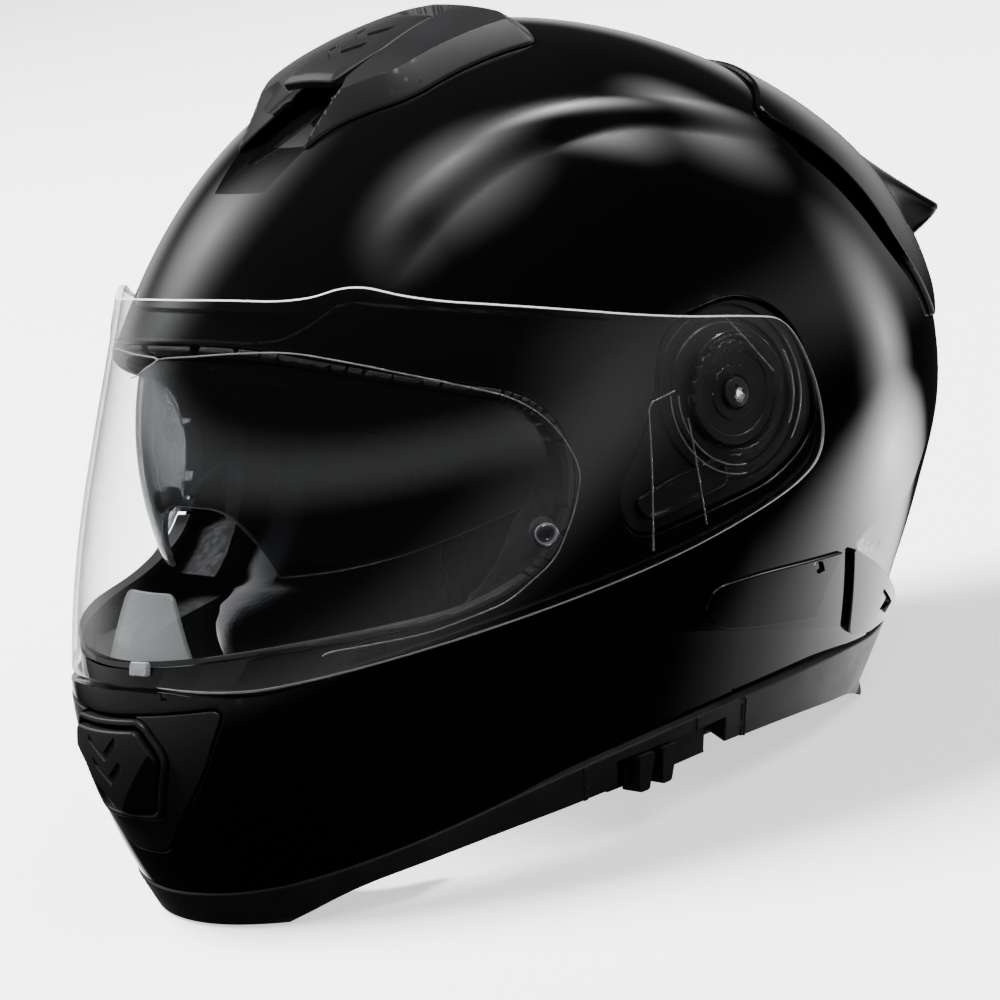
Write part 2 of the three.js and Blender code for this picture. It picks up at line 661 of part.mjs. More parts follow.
function makeChinVentButton() {
  const button = band(-CHIN_BED + FIT, 3.8).intersect(alongY(chinVentOutline(-2.8), -FAR, -120));
  const chevrons = [-66, -74].map((z) => alongY(outline([
    [-8, z + 4], [0, z - 2], [8, z + 4], [8, z + 1], [0, z - 5], [-8, z + 1],
  ]), -FAR, -120).subtract(within(2.6)));
  return largest(button.subtract(chevrons[0]).subtract(chevrons[1]));
}

// Slatted inner outlet above the chin's impact foam.
function makeChinGrille() {
  const PITCH = 11;
  const HALF_SLOT = 3.5;
  const level = box(-62, 62, -FAR, -100, -50.5, -46.5);
  let grille = shellInner(SHELL_WALL + FIT).subtract(within(-20)).intersect(level);
  for (let k = -4; k <= 4; k += 1) {
    const x = k * PITCH;
    const slot = box(x - HALF_SLOT, x + HALF_SLOT, -FAR, -100, -49, -44);
    grille = grille.subtract(slot.subtract(within(-11)).intersect(within(-17)));
  }
  return largest(grille);
}

function makeBreathGuard() {
  const front = outline([
    [-30, -46, 2], [-15, -19, 4], [15, -19, 4], [30, -46, 2], [16, -45.8], [-16, -45.8],
  ]);
  const sheet = shieldForm(-7.8).subtract(shieldForm(-9.4));
  return largest(sheet.intersect(alongY(front, -FAR, -100)));
}

function makeChinCurtain() {
  const plan = outline([
    [-FAR, -FAR], [FAR, -FAR], [FAR, -112], [62, -112, 20], [40, -140, 30], [-40, -140, 30],
    [-62, -112, 20], [-FAR, -112],
  ]);
  return largest(within(-10.6).intersect(alongZ(plan, -126.5, -124.5)));
}

// ---------------------------------------------------------------- rear pieces
function makeSpoiler() {
  const rearView = outline([
    [0, 92], [56, 89, 12], [90, 80, 8], [96, 50, 30], [101, 20, 10], [94, -10, 1], [80, 0, 10], [66, 9, 8],
    [44, 15, 8], [-44, 15, 8], [-66, 9, 8], [-80, 0, 10], [-94, -10, 1], [-101, 20, 10], [-96, 50, 30],
    [-90, 80, 8], [-56, 89, 12],
  ]);
  const profile = alongX(outline([
    [80, 88], [96, 83], [118, 64, 8], [166, 18, 1], [162, 3, 6], [140, -14],
  ]), -74, 74);
  const plan = alongZ(outline([
    [-74, 40], [74, 40], [70, 140, 12], [56, 164, 8], [0, 169, 60], [-56, 164, 8], [-70, 140, 12],
  ]), -60, 140);
  const outer = within(2.2).add(profile.intersect(plan));
  return largest(outer.subtract(within(FIT)).intersect(alongY(rearView, 50, 200)));
}

function makeExhaustGrille() {
  const PITCH = 5.6;
  const HALF_SLOT = 1.6;
  const rearView = outline([[-25, 21, 3], [-29, 9, 3], [29, 9, 3], [25, 21, 3]]);
  let grille = band(-3.4, -0.8).intersect(alongY(rearView, 100, 200));
  for (let k = -4; k <= 4; k += 1) {
    grille = grille.subtract(box(k * PITCH - HALF_SLOT, k * PITCH + HALF_SLOT, 100, 200, 11, 19));
  }
  return largest(grille);
}

// Gloss corner piece with a small outlet, behind the side cover.
function makeRearCorner() {
  const side = alongX(outline([
    [40, -68, 2], [56, -80, 6], [86, -107, 2], [50, -104, 6], [38, -99, 3],
  ]), 50, WIDE);
  const outlet = alongX(outline([
    [60, -90, 1], [72, -100, 1], [66, -102, 1], [58, -97, 1],
  ]), 50, WIDE);
  return largest(band(FIT, 2.2).intersect(side).subtract(outlet.subtract(within(0.9))));
}

function makeCommCover() {
  const side = outline([
    [36, -68, 2], [-3, -62, 8], [-24, -60, 6], [-30, -67, 5], [-24, -75, 5], [-12, -79, 5],
    [20, -87, 2], [27, -76, 2],
  ]);
  return largest(band(FIT, 1.6).intersect(alongX(side, 60, WIDE)));
}

// ---------------------------------------------------------------- chin strap
const STRAP_WALL = 2;
const STRAP_HALF = 12.5;       // half the width of the webbing
const LOOP = { x: 16, z: -127, reach: 6.2, height: 4.3 };
const RING_BAR_X = [18.9, 13];

function strapShape(endX, endZ) {
  const centre = new THREE.CatmullRomCurve3([
    new THREE.Vector3(95.5, 0, -84), new THREE.Vector3(94, 0, -104), new THREE.Vector3(84, 0, -119),
    new THREE.Vector3(60, 0, -124.6), new THREE.Vector3(endX, 0, endZ),
  ]);
  const steps = 14;
  const left = [];
  const right = [];
  for (let k = 0; k <= steps; k += 1) {
    const p = centre.getPoint(k / steps);
    const d = centre.getTangent(k / steps);
    left.push([p.x - (d.z * STRAP_WALL) / 2, p.z + (d.x * STRAP_WALL) / 2]);
    right.push([p.x + (d.z * STRAP_WALL) / 2, p.z - (d.x * STRAP_WALL) / 2]);
  }
  return outline([...left, ...right.reverse()]);
}

function slotShape(reach, height) {
  return outline([
    [LOOP.x - reach, LOOP.z - height, height], [LOOP.x + reach, LOOP.z - height, height],
    [LOOP.x + reach, LOOP.z + height, height], [LOOP.x - reach, LOOP.z + height, height],
  ]);
}

function makeRingStrap() {
  const web = alongY(strapShape(21, LOOP.z), -STRAP_HALF, STRAP_HALF);
  const loop = alongY(slotShape(LOOP.reach, LOOP.height), -STRAP_HALF, STRAP_HALF);
  const eye = alongY(slotShape(LOOP.reach - 1.3, LOOP.height - 1.8), -20, 20);
  return web.add(loop).subtract(eye);
}

function makeFreeStrap() {
  return alongY(strapShape(30, -127), -STRAP_HALF, STRAP_HALF);
}

// Steel D-ring lying in the XY plane with its straight bar on the Y axis.
function ringGeometry() {
  const wire = 1.3;
  const halfWidth = STRAP_HALF + 1 + wire;
  const shape = outline([
    [wire, -halfWidth - wire, 3], [wire, halfWidth + wire, 3], [-12, halfWidth + wire, 12],
    [-21, 8, 10], [-21, -8, 10], [-12, -halfWidth - wire, 12],
  ]);
  shape.holes.push(outline([
    [-wire, -halfWidth + wire, 1.5], [-wire, halfWidth - wire, 1.5], [-11, halfWidth - wire, 10],
    [-21 + 2 * wire, 7, 8], [-21 + 2 * wire, -7, 8], [-11, -halfWidth + wire, 10],
  ]));
  const ring = extrude(shape, 2 * wire);
  ring.translate(0, 0, -wire);
  return toGeometry(toSolid(ring));
}

function makeStrapAnchor() {
  const side = outline([[-14, -101, 4], [14, -101, 4], [9, -80, 4], [-9, -80, 4]]);
  return largest(band(-6, -SHELL_WALL - FIT).intersect(alongX(side, 60, WIDE)));
}

// ---------------------------------------------------------------- assembly
const helmet = new THREE.Group();
helmet.position.set(0, -MID_Y, -RIM_Z);

function place(name, geometry, material) {
  const mesh = new THREE.Mesh(geometry, material);
  mesh.name = name;
  helmet.add(mesh);
  return mesh;
}

function placeSolid(name, solid, material) {
  return place(name, toGeometry(solid), material);
}

// The wearer's left piece is drawn, and the right one is its mirror image.
function placePair(name, solid, material) {
  const geometry = toGeometry(solid);
  place(`${name}_left`, geometry, material);
  place(`${name}_right`, mirrored(geometry), material);
}

placeSolid('outer_shell', makeShell(), GLOSS_BLACK);
placeSolid('eps_liner', makeEpsLiner(), FOAM);
placeSolid('chin_eps', makeChinEps(), FOAM);
placeSolid('crown_pad', makeCrownPad(), FABRIC);
placePair('cheek_pad', makeCheekPad(), FABRIC);
placeSolid('neck_roll', makeNeckRoll(), FABRIC);
placeSolid('eyeport_gasket', makeGasket(), RUBBER);
placeSolid('lower_trim', makeLowerTrim(), RUBBER);

placeSolid('face_shield', makeShield(), CLEAR);
placePair('antifog_pin', makeAntifogPin(), CLEAR);
placeSolid('shield_lock_tab', makeLockTab(), CLEAR);
placePair('base_plate', makeBasePlate(), SATIN_BLACK);
placePair('shield_cam', makeShieldCam(), SATIN_BLACK);
placePair('pivot_screw', makePivotScrew(), STEEL);
placePair('release_lever', makeReleaseLever(), SATIN_BLACK);

placeSolid('sun_visor', makeSunVisor(), SMOKE);
placePair('sun_visor_bush', makeSunVisorBush(), SATIN_BLACK);
placeSolid('sun_visor_lever', makeSunVisorLever(), MATT_BLACK);
placeSolid('lever_rail', makeLeverRail(), MATT_BLACK);

placeSolid('top_vent_housing', makeTopVent(), GLOSS_BLACK);
placeSolid('top_vent_slider', makeTopVentSlider(), SATIN_BLACK);
placeSolid('top_vent_mesh', makeTopVentMesh(), GREY_MESH);
placeSolid('chin_panel', makeChinPanel(), SATIN_BLACK);
placeSolid('chin_vent_frame', makeChinVentFrame(), SATIN_BLACK);
placeSolid('chin_vent_button', makeChinVentButton(), SATIN_BLACK);
placeSolid('chin_inner_grille', makeChinGrille(), MATT_BLACK);
placeSolid('breath_guard', makeBreathGuard(), FROSTED);
placeSolid('chin_curtain', makeChinCurtain(), FABRIC);

placeSolid('rear_spoiler', makeSpoiler(), GLOSS_BLACK);
placeSolid('rear_exhaust_grille', makeExhaustGrille(), MATT_BLACK);
placePair('rear_corner', makeRearCorner(), GLOSS_BLACK);
placePair('comm_cover', makeCommCover(), GLOSS_BLACK);

placeSolid('strap_left', makeRingStrap(), WEBBING);
place('strap_right', mirrored(toGeometry(makeFreeStrap())), WEBBING);
placePair('strap_anchor', makeStrapAnchor(), STEEL);

const ring = ringGeometry();
const upperRing = place('d_ring_upper', ring, STEEL);
upperRing.position.set(RING_BAR_X[0], 0, LOOP.z);
upperRing.rotation.y = THREE.MathUtils.degToRad(40);
const lowerRing = place('d_ring_lower', ring.clone(), STEEL);
lowerRing.position.set(RING_BAR_X[1], 0, LOOP.z);

export default helmet;
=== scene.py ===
"""Looks of the motorcycle helmet: fine surfaces, materials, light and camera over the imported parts."""
import math
import bmesh
import bpy
import numpy as np
from mathutils import Matrix, Vector


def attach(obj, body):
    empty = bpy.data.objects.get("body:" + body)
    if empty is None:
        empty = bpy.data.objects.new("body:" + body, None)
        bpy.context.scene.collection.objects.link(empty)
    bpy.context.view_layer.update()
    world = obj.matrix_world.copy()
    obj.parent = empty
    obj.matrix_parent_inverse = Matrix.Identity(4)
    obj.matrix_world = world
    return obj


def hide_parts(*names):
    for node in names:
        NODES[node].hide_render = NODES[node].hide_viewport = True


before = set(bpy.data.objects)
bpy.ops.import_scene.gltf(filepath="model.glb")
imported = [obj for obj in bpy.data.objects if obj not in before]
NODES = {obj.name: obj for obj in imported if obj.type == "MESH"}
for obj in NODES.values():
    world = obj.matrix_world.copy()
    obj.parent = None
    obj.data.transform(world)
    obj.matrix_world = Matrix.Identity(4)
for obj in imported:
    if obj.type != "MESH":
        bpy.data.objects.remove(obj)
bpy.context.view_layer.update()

# All shapes below are in millimetres round the face shield's pivot axis; ROW moves them to the row frame.
ROW = np.array([0.0, 14.2, 135.0])
PI = math.pi


def row(points):
    """Millimetres round the pivot axis, as metres in the row frame."""
    return (np.asarray(points, float) + ROW) / 1000


# ---------------------------------------------------------------- camera
def make_camera():
    """The view that the picture of the helmet is taken from."""
    azimuth, elevation, roll = (math.radians(a) for a in (55.1, 11.3, -13.4))
    back = Vector((math.sin(azimuth) * math.cos(elevation), -math.cos(azimuth) * math.cos(elevation),
                   math.sin(elevation)))
    right = Vector((math.cos(azimuth), math.sin(azimuth), 0))
    up = back.cross(right)
    right, up = right * math.cos(roll) + up * math.sin(roll), up * math.cos(roll) - right * math.sin(roll)
    data = bpy.data.cameras.new("camera")
    data.lens = 152.28
    data.sensor_width = 36
    data.shift_x = -0.008
    data.shift_y = -0.117
    data.clip_start = 0.05
    camera = bpy.data.objects.new("camera", data)
    place = Vector(row((0, 0, 0))) + back * 1.5
    camera.matrix_world = Matrix.Translation(place) @ Matrix((right, up, back)).transposed().to_4x4()
    bpy.context.scene.collection.objects.link(camera)
    bpy.context.scene.camera = camera


make_camera()

# ---------------------------------------------------------------- shell surface
FRONT = [(-177, -135), (-187, -108), (-192, -77), (-189, -46), (-178, -15), (-161, 18),
         (-138, 50), (-110, 82), (-74, 109), (-30, 126), (11, 130)]
REAR = [(90, -135), (111, -107), (131, -79), (148, -49), (157, -18), (156, 14),
        (144, 46), (118, 76), (81, 104), (42, 124), (11, 130)]
SIDE = [(103, -123, -24), (113, -101, -18), (121, -73, -10), (126, -43, -2), (127, -14, 1),
        (125, 16, 3), (117, 50, 5), (101, 83, 7), (76, 111, 9), (41, 125, 10), (0, 130, 11)]
FRONT_N = [(n,) for n in (2.05, 1.95, 1.9, 1.9, 1.9, 1.95, 1.95, 2, 2, 2, 2)]
REAR_N = [(n,) for n in (2.4, 2.4, 2.4, 2.4, 2.4, 2.35, 2.3, 2.2, 2.1, 2, 2)]


def extended(points, beyond):
    first = tuple(2 * a - b for a, b in zip(points[0], points[1]))
    return np.array([first, *points, beyond], float)


FRONT_C = extended(FRONT, (2 * 11 + 30, 126))
REAR_C = extended(REAR, (2 * 11 - 42, 124))
SIDE_C = extended(SIDE, (-41, 125, 10))
FRONT_N_C = extended(FRONT_N, FRONT_N[-2])
REAR_N_C = extended(REAR_N, REAR_N[-2])


def spline(points, t):
    """Smooth cubic curve through the span of its points, for t from 0 to 1."""
    spans = len(points) - 3
    u = np.clip(t, 0, 1) * spans
    i = np.minimum(np.floor(u).astype(int), spans - 1)
    f = u - i
    w = [(1 - f) ** 3, 3 * f ** 3 - 6 * f ** 2 + 4, -3 * f ** 3 + 3 * f ** 2 + 3 * f + 1, f ** 3]
    return sum(w[k][:, None] * points[i + k] for k in range(4)) / 6


def shell_point(a, t):
    """Point of the shell at an angle from the front and a share of the way up."""
    c, s = np.cos(a), np.sin(a)
    ahead = (c > 0)[:, None]
    end = np.where(ahead, spline(FRONT_C, t), spline(REAR_C, t))
    side = spline(SIDE_C, t)
    n = np.where(ahead, spline(FRONT_N_C, t), spline(REAR_N_C, t))[:, 0]
    return np.stack([
        side[:, 0] * np.sign(s) * np.abs(s) ** (2 / n),
        side[:, 2] + (end[:, 0] - side[:, 2]) * np.abs(c) ** (2 / n),
        side[:, 1] + (end[:, 1] - side[:, 1]) * c * c,
    ], 1)


def unit(v):
    return v / np.maximum(np.linalg.norm(v, axis=1, keepdims=True), 1e-12)


def shell(uv):
    """Point and outward normal of the shell; u is the angle from the front, v runs from rim to crown,
    and below the rim (v < 0) the surface goes straight down."""
    a, t = uv[:, 0], uv[:, 1]
    d = 1e-3
    top = np.clip(t, 0, 0.97)
    across = shell_point(a + d, top) - shell_point(a - d, top)
    rise = shell_point(a, top + d) - shell_point(a, np.maximum(top - d, 0))
    normal = unit(np.cross(across, rise))
    w = np.clip((t - 0.97) / 0.03, 0, 1)[:, None]
    point = shell_point(a, np.maximum(t, 0))
    point[:, 2] += 100 * np.minimum(t, 0)
    return point, unit(normal * (1 - w) + np.array([0, 0, 1.0]) * w)


def swing(width, reach, centre=(0, 0)):
    """Surface that swings about an X axis; u is the direction round the axis, v runs from side to side."""
    def point(uv):
        r = reach(np.sin(uv[:, 0])) * np.cos(uv[:, 1])
        return np.stack([width * np.sin(uv[:, 1]), centre[0] + r * np.cos(uv[:, 0]),
                         centre[1] + r * np.sin(uv[:, 0])], 1)

    def surface(uv):
        d = np.array([[1e-4, 0]])
        e = np.array([[0, 1e-4]])
        n = np.cross(point(uv + e) - point(uv - e), point(uv + d) - point(uv - d))
        p = point(uv)
        out = p - np.array([0, centre[0], centre[1]])
        n = n * np.sign((n * out).sum(1))[:, None]
        return p, unit(n)
    return surface


def shield_reach(s):
    """Distance of the shield's front from the pivot, by the sine of its direction."""
    return 161.5 - 78.5 * s + 85 * s * s


SHIELD_W = 128.3
SUN_C = (-22, -8)
SUN_W, SUN_R = 110, 115
shield_surface = swing(SHIELD_W, shield_reach)
sun_surface = swing(SUN_W, lambda s: SUN_R + 0 * s, SUN_C)


def shield_x(y, z, offset=0.0):
    """How far out the shield's side is, at a place in the side view."""
    r = np.hypot(y, z)
    return (SHIELD_W + offset) * np.sqrt(np.maximum(1 - (r / (shield_reach(z / np.maximum(r,
        1e-6)) + offset)) ** 2, 0))


def under_shield(p, n, offset):
    """How far to move p along n to land on the shield's swing surface moved out by offset."""
    h = np.zeros(len(p))
    for _ in range(4):
        def f(step):
            q = p + (h + step)[:, None] * n
            r = np.hypot(q[:, 1], q[:, 2])
            return (q[:, 0] / (SHIELD_W + offset)) ** 2 + (r / (shield_reach(q[:, 2] / np.maximum(r,
                1e-6)) + offset)) ** 2 - 1
        f0, f1 = f(0), f(0.01)
        slope = (f1 - f0) / 0.01
        h = h - np.clip(f0 / np.where(np.abs(slope) < 1e-6, 1e-6, slope), -6, 6)
    return h


# ---------------------------------------------------------------- outlines
def outline(corners):
    """Closed polyline of corners (a, b) or (a, b, rounding); a rounding takes seven steps."""
    steps = 7
    pts = []
    count = len(corners)
    for i, corner in enumerate(corners):
        here = np.array(corner[:2], float)
        radius = corner[2] if len(corner) > 2 else 0
        if not radius:
            pts.append(here)
            continue
        ends = []
        for other in (corners[i - 1], corners[(i + 1) % count]):
            d = np.array(other[:2], float) - here
            length = np.linalg.norm(d)
            ends.append(here + d / length * min(radius, length * 0.48))
        for k in range(steps + 1):
            t = k / steps
            pts.append(ends[0] * (1 - t) ** 2 + here * 2 * t * (1 - t) + ends[1] * t * t)
    return np.array(pts)


def inside(poly, q):
    """Signed distance into a closed polyline, and the direction in which it grows."""
    best = np.full(len(q), 1e18)
    grad = np.zeros_like(q)
    odd = np.zeros(len(q), bool)
    for a, b in zip(poly, np.roll(poly, -1, 0)):
        d = b - a
        length2 = d @ d
        if length2 < 1e-12:
            continue
        t = np.clip(((q - a) @ d) / length2, 0, 1)
        away = q - a - t[:, None] * d
        dist = (away ** 2).sum(1)
        nearer = dist < best
        best = np.where(nearer, dist, best)
        grad[nearer] = away[nearer]
        crosses = (a[1] > q[:, 1]) != (b[1] > q[:, 1])
        if d[1] != 0:
            odd ^= crosses & (q[:, 0] < a[0] + (q[:, 1] - a[1]) * d[0] / d[1])
    dist = np.sqrt(best)
    sign = np.where(odd, 1.0, -1.0)
    return dist * sign, grad / np.maximum(dist, 1e-9)[:, None] * sign[:, None]


AXES = {"side": (1, 2), "front": (0, 2), "plan": (0, 1)}


def region(view, corners):
    """Mask over a surface: distance along the surface into an outline drawn in one view."""
    poly = outline(corners)
    axes = AXES[view]

    def mask(p, n):
        s, g = inside(poly, p[:, axes])
        g3 = np.zeros_like(p)
        g3[:, axes[0]] = g[:, 0]
        g3[:, axes[1]] = g[:, 1]
        along = g3 - (g3 * n).sum(1)[:, None] * n
        return s / np.maximum(np.linalg.norm(along, axis=1), 0.35)
    return mask


def both(*masks):
    return lambda p, n: np.minimum.reduce([m(p, n) for m in masks])


def either(*masks):
    return lambda p, n: np.maximum.reduce([m(p, n) for m in masks])


def outside(mask, gap=0.0):
    return lambda p, n: -mask(p, n) - gap


def shrunk(mask, by):
    return lambda p, n: mask(p, n) - by


def ahead(y):
    return lambda p, n: y - p[:, 1]


def behind(y):
    return lambda p, n: p[:, 1] - y


def left(x):
    return lambda p, n: p[:, 0] - x


def above(z):
    return lambda p, n: p[:, 2] - z


def beyond_radius(radius, centre=(0, 0)):
    """Distance outside a circle round an X axis, seen from the side."""
    return lambda p, n: np.hypot(p[:, 1] - centre[0], p[:, 2] - centre[1]) - radius


# ---------------------------------------------------------------- patches
def split(uv, tri, values, level, at):
    """Cuts the triangles along a level line of a function over the surface."""
    d = values - level
    d[np.abs(d) < 1e-4] = 0
    sign = np.sign(d)
    corner = sign[tri]
    pairs = np.array([[0, 1], [1, 2], [2, 0]])
    crossing = corner[:, pairs[:, 0]] * corner[:, pairs[:, 1]] < 0
    if not crossing.any():
        return uv, tri, values
    ends = tri[:, pairs][crossing]
    key, back = np.unique(np.sort(ends, 1), axis=0, return_inverse=True)
    back = back.reshape(-1)
    lo, hi = uv[key[:, 0]], uv[key[:, 1]]
    d_lo, d_hi = d[key[:, 0]], d[key[:, 1]]
    t = d_lo / (d_lo - d_hi)
    for _ in range(2):
        mid = lo + (hi - lo) * t[:, None]
        d_mid = at(mid) - level
        same = np.sign(d_mid) == np.sign(d_lo)
        t_a = np.where(same, t, 0.0)
        d_a = np.where(same, d_mid, d_lo)
        t_b = np.where(same, 1.0, t)
        d_b = np.where(same, d_hi, d_mid)
        t = t_a + (t_b - t_a) * d_a / np.where(np.abs(d_a - d_b) < 1e-12, 1e-12, d_a - d_b)
    fresh = lo + (hi - lo) * t[:, None]
    base = len(uv)
    index = np.full(crossing.shape, -1)
    index[crossing] = base + back
    number = crossing.sum(1)
    kept = [tri[number == 0]]
    for e in range(3):
        # two crossed edges meet at corner e
        pick = (number == 2) & crossing[:, e] & crossing[:, (e + 2) % 3]
        a, b, c = tri[pick, e], tri[pick, (e + 1) % 3], tri[pick, (e + 2) % 3]
        m, q = index[pick, e], index[pick, (e + 2) % 3]
        kept += [np.stack([a, m, q], 1), np.stack([m, b, c], 1), np.stack([m, c, q], 1)]
        # one crossed edge, opposite a corner on the line
        pick = (number == 1) & crossing[:, e]
        b, c, a = tri[pick, e], tri[pick, (e + 1) % 3], tri[pick, (e + 2) % 3]
        m = index[pick, e]
        kept += [np.stack([a, b, m], 1), np.stack([a, m, c], 1)]
    return np.vstack([uv, fresh]), np.vstack(kept), np.concatenate([values,
                                                                    np.full(len(fresh), float(level))])


def grid(us, vs):
    """Parameters and triangles of a regular net, with its diagonals turned alternately."""
    u, v = np.meshgrid(us, vs, indexing="ij")
    uv = np.stack([u.ravel(), v.ravel()], 1)
    rows, columns = len(us), len(vs)
    i, j = np.meshgrid(np.arange(rows - 1), np.arange(columns - 1), indexing="ij")
    a = (i * columns + j).ravel()
    b, c, d = a + columns, a + columns + 1, a + 1
    flip = ((i + j) % 2).ravel().astype(bool)
    one = np.where(flip[:, None], np.stack([a, b, d], 1), np.stack([a, b, c], 1))
    two = np.where(flip[:, None], np.stack([b, c, d], 1), np.stack([a, c, d], 1))
    return uv, np.vstack([one, two])


def new_object(name, mesh, body, replaces, material):
    thing = bpy.data.objects.new(name, mesh)
    bpy.context.scene.collection.objects.link(thing)
    for m in material if isinstance(material, (list, tuple)) else [material]:
        mesh.materials.append(m)
    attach(thing, body)
    if replaces:
        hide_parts(*([replaces] if isinstance(replaces, str) else replaces))
    return thing


BEVEL = 0.8


def bevelled(height, bevel=BEVEL):
    """Height over the surface that rolls off towards the patch's edge."""
    def top(p, n, s):
        h = height(p, n, s) if callable(height) else height
        return h - bevel * np.clip(1 - s / bevel, 0, 1.3) ** 2
    return top


def patch(name, surface, us, vs, mask, top, bottom, body, replaces, material,
          bevel=BEVEL, creases=(), wrap=False, edge=None, mirror=False):
    """A closed thin piece cut from a surface: `mask` is the distance in from its edge, `top` and `bottom`
    are the heights of its faces. `creases` are (function, levels) along which the mesh gets edges."""
    uv, tri = grid(us, vs)

    def mask_at(q):
        return mask(*surface(q))
    values = mask_at(uv)
    for level in [0.0] + ([bevel * k for k in (0.35, 1.0)] if bevel else []):
        uv, tri, values = split(uv, tri, values, level, mask_at)
    tri = tri[(values[tri].min(1) > -1e-3) & (values[tri].max(1) > 1e-3)]
    for function, levels in creases:
        for level in levels:
            at = lambda q, f=function: f(*surface(q))
            uv, tri, _ = split(uv, tri, at(uv), level, at)
    used, tri = np.unique(tri, return_inverse=True)
    tri = tri.reshape(-1, 3)
    uv = uv[used]
    crisp = np.zeros(len(uv), bool)
    for function, levels in creases:
        value = function(*surface(uv))
        for level in levels:
            crisp |= np.abs(value - level) < 2e-3
    top_h = bevelled(top, bevel) if bevel else (lambda p, n, s: top(p, n, s) if callable(top) else top)

    def face(q):
        p, n = surface(q)
        h = top_h(p, n, mask(p, n))
        return p + np.broadcast_to(h, (len(p),))[:, None] * n

    p, n = surface(uv)
    outer = face(uv)
    tiny = 2e-5 * max(us[-1] - us[0], 1)

    def slope_normal(q, fallback):
        du, dv = np.array([[tiny, 0]]), np.array([[0, tiny]])
        found = np.cross(face(q + du) - face(q - du), face(q + dv) - face(q - dv))
        length = np.linalg.norm(found, axis=1)
        found = found * np.sign((found * fallback).sum(1))[:, None]
        return np.where((length > 1e-13)[:, None], unit(found), fallback)
    normal = slope_normal(uv, n)
    low = bottom(p, n, mask(p, n)) if callable(bottom) else np.full(len(p), float(bottom))
    inner = p + low[:, None] * n
    # outward faces: order each triangle along the normal
    cross = np.cross(outer[tri[:, 1]] - outer[tri[:, 0]], outer[tri[:, 2]] - outer[tri[:, 0]])
    wrong = (cross * n[tri[:, 0]]).sum(1) < 0
    tri[wrong] = tri[wrong][:, ::-1]
    ends = tri[:, [[0, 1], [1, 2], [2, 0]]].reshape(-1, 2)
    _, first, count = np.unique(np.sort(ends, 1), axis=0, return_index=True, return_counts=True)
    rim = ends[first[count == 1]]
    if wrap:
        seam = np.isclose(np.abs(uv[:, 0] - (us[0] + us[-1]) / 2), (us[-1] - us[0]) / 2)
        rim = rim[~(seam[rim[:, 0]] & seam[rim[:, 1]])]
    if len(rim):
        gap = np.linalg.norm(outer[rim[:, 0]] - outer[rim[:, 1]], axis=1)
        rim = rim[gap > 1e-6]
    m = len(uv)
    points = np.vstack([outer, inner])
    wall_n = np.zeros((m, 3))
    along = outer[rim[:, 1]] - outer[rim[:, 0]]
    side = unit(np.cross(along, n[rim[:, 0]]))
    np.add.at(wall_n, rim[:, 0], side)
    np.add.at(wall_n, rim[:, 1], side)
    wall_n = unit(wall_n)
    walls = np.stack([rim[:, 1], rim[:, 0], rim[:, 0] + m, rim[:, 1] + m], 1)
    sizes = np.concatenate([np.full(2 * len(tri), 3), np.full(len(walls), 4)])
    loops = np.concatenate([tri.ravel(), (tri[:, ::-1] + m).ravel(), walls.ravel()])
    corner_normal = normal[tri.ravel()].reshape(-1, 3, 3)
    touched = crisp[tri].any(1)
    if touched.any():
        # beside a crease each corner takes the slope of its own side
        corners = uv[tri[touched]]
        own = (0.8 * corners + 0.2 * corners.mean(1, keepdims=True)).reshape(-1, 2)
        found = slope_normal(own, surface(own)[1]).reshape(-1, 3, 3)
        corner_normal[touched] = np.where(crisp[tri[touched]][:, :, None], found, corner_normal[touched])
    normals = np.vstack([corner_normal.reshape(-1, 3), -n[tri[:, ::-1].ravel()],
                         wall_n[(walls % m).ravel()]])
    kind = np.zeros(len(sizes), int)
    if edge is not None:
        kind[2 * len(tri):] = 1
        near = mask(p, n)[tri].max(1) < bevel * 1.01 + 1e-6
        kind[:len(tri)][near] = 1
    if mirror:
        points = points * np.array([-1, 1, 1])
        normals = normals * np.array([-1, 1, 1])
        starts = np.concatenate([[0], np.cumsum(sizes)[:-1]])
        order = np.concatenate([np.arange(s, s + k)[::-1] for s, k in zip(starts, sizes)])
        loops, normals = loops[order], normals[order]
    mesh = solid_mesh(name, row(points), loops, sizes, normals, kind)
    return new_object(name, mesh, body, replaces, [material] + ([edge] if edge is not None else []))


def solid_mesh(name, points, loops, sizes, normals=None, kind=None):
    mesh = bpy.data.meshes.new(name)
    mesh.vertices.add(len(points))
    mesh.vertices.foreach_set("co", np.asarray(points, np.float32).ravel())
    mesh.loops.add(len(loops))
    mesh.loops.foreach_set("vertex_index", np.asarray(loops, np.int32))
    mesh.polygons.add(len(sizes))
    starts = np.concatenate([[0], np.cumsum(sizes)[:-1]]).astype(np.int32)
    mesh.polygons.foreach_set("loop_start", starts)
    mesh.polygons.foreach_set("use_smooth", np.ones(len(sizes), bool))
    if kind is not None:
        mesh.polygons.foreach_set("material_index", np.asarray(kind, np.int32))
    mesh.update(calc_edges=True)
    if normals is not None:
        mesh.normals_split_custom_set(normals.tolist())
    return mesh


SHELL_U = np.linspace(-PI, PI, 481)
SHELL_V = np.concatenate([np.linspace(0, 0.6, 86), np.linspace(0.6, 0.92, 91)[1:],
                          np.linspace(0.92, 1, 13)[1:]])


